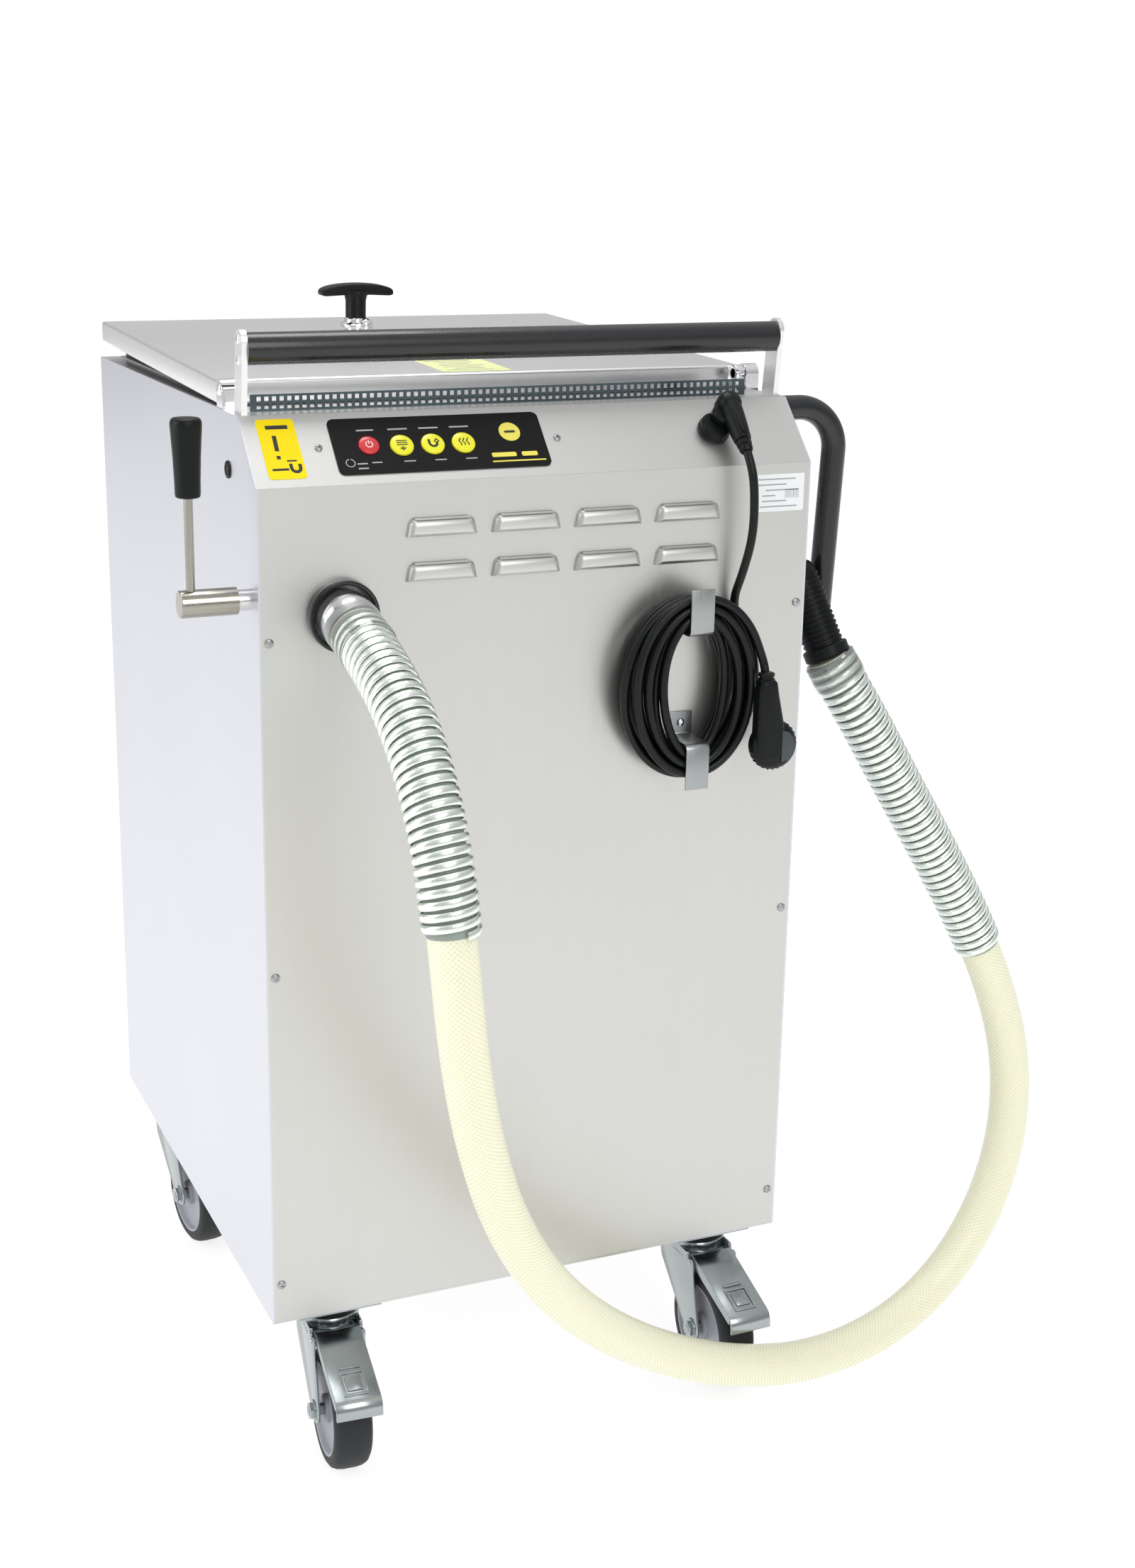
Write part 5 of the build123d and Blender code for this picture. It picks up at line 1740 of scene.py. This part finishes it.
@dataclass
class ControlPanel:
    """The overlay, its buttons and marks, and the stickers on the front."""

    overlay: tuple[float, float, float, float] = (-79.0, 33.7, 170.0, 50.5)
    button_gap: float = 0.3
    print_height: float = 0.95
    buttons: dict[str, tuple[float, float, float]] = field(
        default_factory=lambda: {
            "power_button": (-136.3, 33.6, 8.0),
            "drain_button": (-110.5, 32.4, 9.2),
            "return_button": (-85.8, 32.4, 9.2),
            "heat_button": (-61.1, 32.4, 9.2),
        }
    )

    def build(self) -> None:
        """Makes the overlay, the buttons, the marks and the stickers."""
        x, s, width, length = self.overlay
        film = Bench.slab("overlay_film", FASCIA.moved(x, s), rounded_rectangle(width, length, 5.0), 1.0)
        for bx, bs, radius in self.buttons.values():
            reach = radius + self.button_gap
            Bench.cut(
                film, Bench.turned("hole", FASCIA.moved(bx, bs, -3.0), [(reach, 0), (reach, 8.0)], 56)
            )
        Bench.dress(Bench.smooth(film, 30), OVERLAY, CABINET, "overlay", ("control_overlay",))
        for name, (bx, bs, radius) in self.buttons.items():
            self.button(name, bx, bs, radius)
        self.overlay_marks()
        self.stickers()

    def button(self, name: str, x: float, s: float, radius: float) -> None:
        """One slightly domed button with its mark.

        Args:
            name: Name of the button and of its body.
            x: Place along the fascia.
            s: Place up the fascia.
            radius: Radius of the button.
        """
        seat = FASCIA.moved(x, s)
        cap = Bench.turned(
            f"{name}_cap",
            seat,
            [
                (radius, -4.0), (radius, 1.7), (radius - 0.3, 2.2), (radius - 0.9, 2.5),
                (radius * 0.5, 2.65), (0.3, 2.7),
            ],
            56,
        )
        power = name == "power_button"
        finish, slot = (RED, "red_button") if power else (YELLOW, "yellow_button")
        Bench.dress(Bench.smooth(cap, 50), finish, name, slot, (name,))
        mark = Bench.joined(f"{name}_mark", self.mark(name, seat.moved(0, 0, 2.55)))
        Bench.dress(mark, INK_WHITE if power else INK_BLACK, name, "overlay")

    def mark(self, name: str, seat: Seat) -> list[bpy.types.Object]:
        """The plain mark on a button, as raised bands.

        Args:
            name: Name of the button.
            seat: Top of the button.

        Returns:
            The bands of the mark.
        """
        if name == "power_button":
            lines = [(arc(2.6, 120, 420, 20), 0.7), ([(0, 0.6), (0, 3.4)], 0.7)]
        elif name == "drain_button":
            lines = [([(-4.2, 3.2 - 1.8 * k), (4.2, 3.2 - 1.8 * k)], 0.8) for k in range(3)]
            lines += [([(0, -2.0), (0, -3.4)], 1.4), ([(-2.0, -3.2), (0, -5.0), (2.0, -3.2)], 1.2)]
        elif name == "return_button":
            lines = [([(3.0, 1.2)] + arc(3.0, 0, -180, 14) + [(-3.0, 3.4)], 1.9)]
            lines += [([(1.0, 1.0), (3.0, 3.8), (5.0, 1.0)], 1.2)]
        else:
            lines = [
                ([(-3 + 3 * k + 0.9 * math.sin(t * 1.57), -3.2 + t * 1.3) for t in range(6)], 0.9)
                for k in range(3)
            ]
        return [Bench.slab("band", seat, ribbon(line, width), 0.25) for line, width in lines]

    def overlay_marks(self) -> None:
        """Short plain lines beside the buttons and a ring at the right."""
        top = FASCIA.moved(0, 0, self.print_height)
        bands = []
        for x, _, radius in self.buttons.values():
            bands.append(Bench.bar(top.moved(x, 47.6), radius * 1.7, 1.3, 0.5))
            bands.append(Bench.bar(top.moved(x + 3.0, 18.0), radius, 1.0, 0.4))
        for k in range(2):
            bands.append(Bench.bar(top.moved(-145.0, 17.4 - 4.2 * k), 8.0, 1.2, 0.5))
        bands.append(Bench.slab("ring", top.moved(-154.0, 18.5), ribbon(arc(3.4, 100, 440, 18), 0.7), 0.15))
        Bench.dress(Bench.joined("overlay_lines", bands), INK_GREY, CABINET, "overlay")
        bright = [
            Bench.turned("spot", top.moved(-21.0, 41.0), [(8.6, 0), (8.6, 0.15)], 48),
            Bench.bar(top.moved(-31.0, 20.0), 20.0, 4.0, 1.2),
            Bench.bar(top.moved(-10.0, 20.0), 13.0, 4.0, 1.2),
            Bench.bar(top.moved(-20.0, 14.0), 44.0, 1.2, 0.5),
        ]
        Bench.dress(Bench.joined("overlay_emblem", bright), INK_YELLOW, CABINET, "yellow_button")
        dark = Bench.slab(
            "overlay_emblem_bar", FASCIA.moved(-21.0, 41.0, 1.1), rounded_rectangle(9.0, 2.0, 0.8), 0.12
        )
        Bench.dress(dark, INK_BLACK, CABINET, "overlay")

    def stickers(self) -> None:
        """The yellow sticker on the fascia and the white plate on the front."""
        seat = FASCIA.moved(-203.5, 34.5)
        label = Bench.slab("yellow_sticker", seat, rounded_rectangle(29.0, 54.0, 3.0), 0.25)
        Bench.dress(label, STICKER_YELLOW, CABINET, "yellow_button")
        shapes = [
            ([(-8.0, 19.5), (9.0, 19.5)], 3.4),
            ([(-3.0, 12.0), (-3.4, -2.0)], 3.2),
            ([(-3.5, -6.2), (-3.5, -9.2)], 3.0),
            ([(-10.5, -18.5), (2.0, -18.5)], 2.0),
            ([(2.0, -11.0), (9.5, -11.0)], 1.4),
            (
                [(11.0, -14.0)] + [(7.6 + a, -17.5 + b) for a, b in arc(3.4, 0, -180, 12)] + [(4.2, -13.5)],
                2.6,
            ),
        ]
        bands = [
            Bench.slab("band", seat.moved(0, 0, 0.2), ribbon(line, width), 0.15) for line, width in shapes
        ]
        Bench.dress(Bench.joined("yellow_sticker_marks", bands), INK_BLACK, CABINET, "overlay")
        plate_seat = FRONT.moved(201.5, 790.5)
        plate = Bench.slab("rating_plate", plate_seat, rounded_rectangle(46.0, 30.0, 1.2), 0.25)
        Bench.dress(plate, STICKER_WHITE, CABINET, "clear_sleeve")
        lines = []
        for row, (start, width) in enumerate(((-2, 34), (-6, 26), (3, 30), (-9, 12), (-4, 22), (0, 34))):
            lines.append(Bench.bar(plate_seat.moved(start, 11.0 - 4.4 * row, 0.2), width, 1.1, 0.4, 0.12))
        for k in range(9):
            stripe = plate_seat.moved(6.0 + 1.5 * k, -1.0, 0.2)
            lines.append(Bench.bar(stripe, 0.4 + 0.4 * (k % 2), 7.0, 0.1, 0.12))
        Bench.dress(Bench.joined("rating_plate_lines", lines), INK_GREY, CABINET, "overlay")


@dataclass
class HoseEnds:
    """The coupling in the port, and the lance's ribbed grip."""

    def build(self) -> None:
        """Makes both ends."""
        self.coupling()
        self.grip()

    def coupling(self) -> None:
        """A bright spigot under a clear sleeve."""
        route = Route(
            [
                (-0.1660, -0.2564, 0.7170),
                (-0.1660, -0.2640, 0.7166),
                (-0.1658, -0.2760, 0.7145),
                HOSE_START,
                (-0.1646, -0.3150, 0.7030),
            ]
        )
        reach = route.nearest_length(Vector(HOSE_START))
        inner = route.tube(
            "coupling_spigot", 0.0, reach, [
                (0, 0.0195), (0.3, 0.0195), (0.34, 0.0203), (0.5, 0.0203), (0.54, 0.0195), (1, 0.0195),
            ], 56
        )
        Bench.dress(inner, COUPLING_METAL, CABINET, "clear_sleeve", ("hose_coupling",))
        sleeve = route.tube(
            "coupling_sleeve",
            0.004,
            route.length,
            [
                (0.0, 0.0205), (0.02, 0.0212), (0.2, 0.0214), (0.25, 0.0222), (0.4, 0.0223), (0.46, 0.0217),
                (0.7, 0.0221), (0.97, 0.0224), (1.0, 0.0218),
            ],
            56,
        )
        Bench.dress(sleeve, CLEAR_SLEEVE, CABINET, "clear_sleeve")

    def grip(self) -> None:
        """A black grip with raised rings, tapering into the lance."""
        start, end = Vector((273.5, -227.0, 643.0)), Vector((251.0, -199.0, 720.0))
        length = (end - start).length
        profile = [(18.4, 0.0), (19.4, 0.8), (19.4, 9.0), (18.2, 10.0), (16.2, 10.6)]
        height = 12.0
        while height < length - 12.0:
            profile += [(16.0, height), (17.0, height + 0.5), (17.0, height + 2.6), (16.0, height + 3.1)]
            height += 4.4
        profile += [(16.0, length - 8.0), (13.5, length - 3.0), (9.5, length)]
        piece = Bench.turned("ribbed_grip", Seat.along(start, end - start), profile, 48)
        Bench.dress(Bench.smooth(piece, 35), BLACK_MOULDED, CABINET, "black_grip", ("lance_grip",))


@dataclass
class LeverGrip:
    """The flared grip on the valve lever."""

    def build(self) -> None:
        """Makes the grip."""
        low, high = node_box("lever_grip")
        seat = Seat(Vector(((low.x + high.x) / 2, (low.y + high.y) / 2, low.z)))
        piece = Bench.turned(
            "lever_handgrip",
            seat,
            [
                (3.5, 0.2), (7.6, 0.2), (9.0, 1.0), (9.4, 3.0), (9.5, 12.0), (10.2, 30.0), (11.2, 46.0),
                (11.6, 52.0), (11.5, 54.6), (10.8, 56.6), (9.4, 57.7), (5.0, 58.0),
            ],
            56,
        )
        Bench.dress(Bench.smooth(piece, 40), BLACK_MOULDED, "valve_lever", "black_grip", ("lever_grip",))


@dataclass
class Castor:
    """One swivel castor: fork, wheel, axle bolt, dust ring and, at the front, a brake pedal."""

    name: str
    x: float
    y: float
    turn: float
    axle_height: float = 50.0
    trail: float = 40.0
    cheek_gap: float = 19.5
    cheek_sheet: float = 3.0

    @property
    def braked(self) -> bool:
        """Only the front castors have a brake."""
        return self.name.startswith("front")

    @property
    def across(self) -> Vector:
        """Direction of the axle."""
        return Vector((math.cos(math.radians(self.turn)), math.sin(math.radians(self.turn)), 0))

    @property
    def back(self) -> Vector:
        """Direction away from the trail."""
        return Vector((-math.sin(math.radians(self.turn)), math.cos(math.radians(self.turn)), 0))

    def side(self, offset: float) -> Seat:
        """A seat across the castor, x back and y up, at an offset along the axle."""
        origin = Vector((self.x, self.y, 0)) + self.across * offset
        return Seat(origin, self.back, Vector((0, 0, 1)))

    def axle_seat(self, offset: float, way: int = 1) -> Seat:
        """A seat on the axle, whose square direction is the axle's."""
        centre = Vector((self.x, self.y, self.axle_height)) - self.back * self.trail + self.across * offset
        return Seat.along(centre, self.across * way)

    def build(self) -> None:
        """Makes the castor's pieces."""
        self.fork()
        self.wheel()
        self.axle()
        if self.braked:
            self.pedal()

    def fork(self) -> None:
        """Two pressed cheeks under a swivel head with a black dust ring."""
        cheek = [
            (24.0, 118.0), (26.0, 112.0), (20.0, 92.0), (-27.5, 45.0), (-34.0, 39.8), (-42.0, 39.0),
            (-49.0, 43.0), (-51.0, 50.0), (-49.5, 56.0),
        ]
        cheek += [
            (-37.2, 107.0), (-36.6, 111.0), (-33.0, 114.0), (-28.5, 112.5),
        ] if self.braked else [(-30.0, 106.0)]
        cheek += [(-27.0, 118.0)]
        parts = []
        for offset in (-self.cheek_gap - self.cheek_sheet, self.cheek_gap):
            plate = Bench.slab("cheek", self.side(offset), cheek, self.cheek_sheet)
            parts.append(Bench.eased(plate, 0.9, 2, 50))
        low_seat = Seat(Vector((self.x, self.y, 0)), self.across, self.back)
        crown = Bench.slab("crown", low_seat.moved(0, -1.5, 109.5), rounded_rectangle(45.0, 52.0, 6.0), 3.0)
        parts.append(Bench.eased(crown, 0.8, 2))
        parts.append(
            Bench.turned(
                "head",
                low_seat,
                [(23.0, 112.0), (25.0, 113.0), (26.0, 116.5), (26.0, 121.0), (24.5, 123.0)],
                56,
            )
        )
        body = f"{self.name}_fork"
        piece = Bench.smooth(Bench.joined(f"{self.name}_fork_pressing", parts), 35)
        Bench.dress(piece, ZINC, body, "zinc", (f"{self.name}_fork",))
        ring = Bench.turned(
            f"{self.name}_dust_ring", low_seat, [
                (24.5, 122.6), (27.0, 123.4), (27.6, 127.0), (27.0, 131.0), (25.5, 132.2),
            ], 56
        )
        Bench.dress(Bench.smooth(ring), BLACK_MOULDED, body, "black_grip")

    def wheel(self) -> None:
        """A grey tyre on a lighter rim with a stepped hub."""
        half = [
            (5.2, 14.5), (9.5, 14.8), (11.5, 14.0), (12.0, 11.0), (30.0, 10.2), (34.5, 11.4), (36.5, 15.2),
            (38.5, 15.6),
        ]
        rim_profile = [(r, -h) for r, h in half] + [(r, h) for r, h in reversed(half)]
        rim = Bench.turned("rim", self.axle_seat(0), rim_profile, 72)
        bore = Bench.turned("bore", self.axle_seat(-20), [(5.05, 0), (5.05, 40.0)], 32)
        Bench.cut(rim, bore)
        tyre_profile = [
            (38.4, -15.4), (41.0, -16.0), (44.5, -15.6), (47.6, -13.6), (49.3, -10.0), (50.0, -5.0),
            (50.0, 5.0), (49.3, 10.0), (47.6, 13.6), (44.5, 15.6), (41.0, 16.0), (38.4, 15.4),
        ]
        tyre = Bench.turned("tyre", self.axle_seat(0), tyre_profile, 96)
        inner = Bench.turned("inner", self.axle_seat(-30), [(38.3, 0), (38.3, 60.0)], 96)
        Bench.cut(tyre, inner)
        body = f"{self.name}_wheel"
        Bench.dress(Bench.smooth(rim, 35), RIM, body, "tyre")
        rim.name = f"{self.name}_rim"
        tyre.name = f"{self.name}_tyre"
        Bench.dress(Bench.smooth(tyre, 35), TYRE, body, "tyre", (f"{self.name}_wheel",))

    def axle(self) -> None:
        """A hexagon bolt and its nut."""
        shank = Bench.turned("shank", self.axle_seat(-24.0), [(4.9, 0), (4.9, 48.0)], 32)
        parts = [shank]
        for way in (-1, 1):
            face = self.axle_seat(way * (self.cheek_gap + self.cheek_sheet), way)
            parts.append(Bench.turned("washer", face, [(8.6, 0), (8.6, 0.9), (8.2, 1.1)], 40))
            parts.append(Bench.turned("hexagon", face, [(7.4, 1.1), (7.4, 4.0), (6.4, 4.7)], 6))
            parts.append(Bench.turned("end", face, [(4.2, 4.5), (4.2, 4.9), (3.2, 5.4)], 28))
        piece = Bench.smooth(Bench.joined(f"{self.name}_axle_bolt", parts), 30)
        Bench.dress(piece, ZINC, f"{self.name}_fork", "zinc", (f"{self.name}_axle",))

    def pedal(self) -> None:
        """A bent plate with side flanges, a raised window and a curled lip."""
        top = [
            (-31.0, 115.2), (-45.0, 110.6), (-98.0, 91.0), (-101.5, 88.5), (-103.2, 84.0), (-103.8, 77.2),
        ]
        body = f"{self.name}_brake_pedal"
        plate = Bench.slab("plate", self.side(-19.2), ribbon(top, 2.4), 38.4)
        parts = [Bench.eased(plate, 0.8, 2, 50)]
        flange = [
            (-29.5, 112.0), (-33.0, 106.2), (-38.5, 104.6), (-99.0, 84.6), (-101.0, 89.4), (-33.0, 114.6),
        ]
        for offset in (-19.2, 17.2):
            parts.append(Bench.eased(Bench.slab("flange", self.side(offset), flange, 2.0), 0.6, 2, 50))
        up = (Vector((0, 0, 1)) * 19.6 + self.back * 53.0).normalized()
        middle = Vector((self.x, self.y, 0)) - self.back * 76.0 + Vector((0, 0, 1)) * 100.0
        face = Seat(middle, self.across, up)
        window = (
            ((0, 2.0), (21.0, 2.6), 1.2),
            ((-9.4, -9.0), (2.2, 20.0), 1.2),
            ((9.4, -9.0), (2.2, 20.0), 1.2),
            ((0, -19.5), (21.0, 2.4), 1.2),
            ((0, 7.0), (18.0, 3.0), 1.4),
            ((0, -8.5), (13.5, 15.0), 1.0),
        )
        for place, size, rise in window:
            parts.append(Bench.eased(Bench.bar(face.moved(*place, 0.4), *size, 1.0, rise), 0.5, 2, 50))
        pin = Seat.along(self.side(-22.9).at(-33.0, 110.0), self.across)
        parts.append(Bench.turned("pin", pin, [(2.4, 0), (2.4, 45.8)], 24))
        piece = Bench.smooth(Bench.joined(f"{self.name}_pedal_plate", parts), 35)
        Bench.dress(piece, ZINC, body, "zinc", (body,))


CASTORS = [
    Castor("front_left", -172.0, -218.5, -4.0),
    Castor("front_right", 172.0, -218.5, 1.0),
    Castor("rear_left", -190.0, 192.5, 6.0),
    Castor("rear_right", 190.0, 192.5, -8.0),
]


def finish_cad_nodes() -> None:
    """Gives every CAD node that still shows its procedural finish."""
    for node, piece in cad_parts.items():
        if piece.hide_render:
            continue
        finish = Wear[node].value
        piece.data.materials.clear()
        piece.data.materials.append(finish.material())
        LOG.info("%s wears %s", node, finish.name)


def main() -> None:
    """Builds the studio, then the trolley from its cords inwards."""
    logging.basicConfig(level=logging.INFO)
    Bench.deselect()
    Studio().build()
    OilHose().build()
    MainsLead().build()
    HoseEnds().build()
    FrontPanel().build()
    Lid().build()
    ControlPanel().build()
    Fasteners().build()
    LeverGrip().build()
    for castor in CASTORS:
        castor.build()
    finish_cad_nodes()


if __name__ == "__main__":
    main()
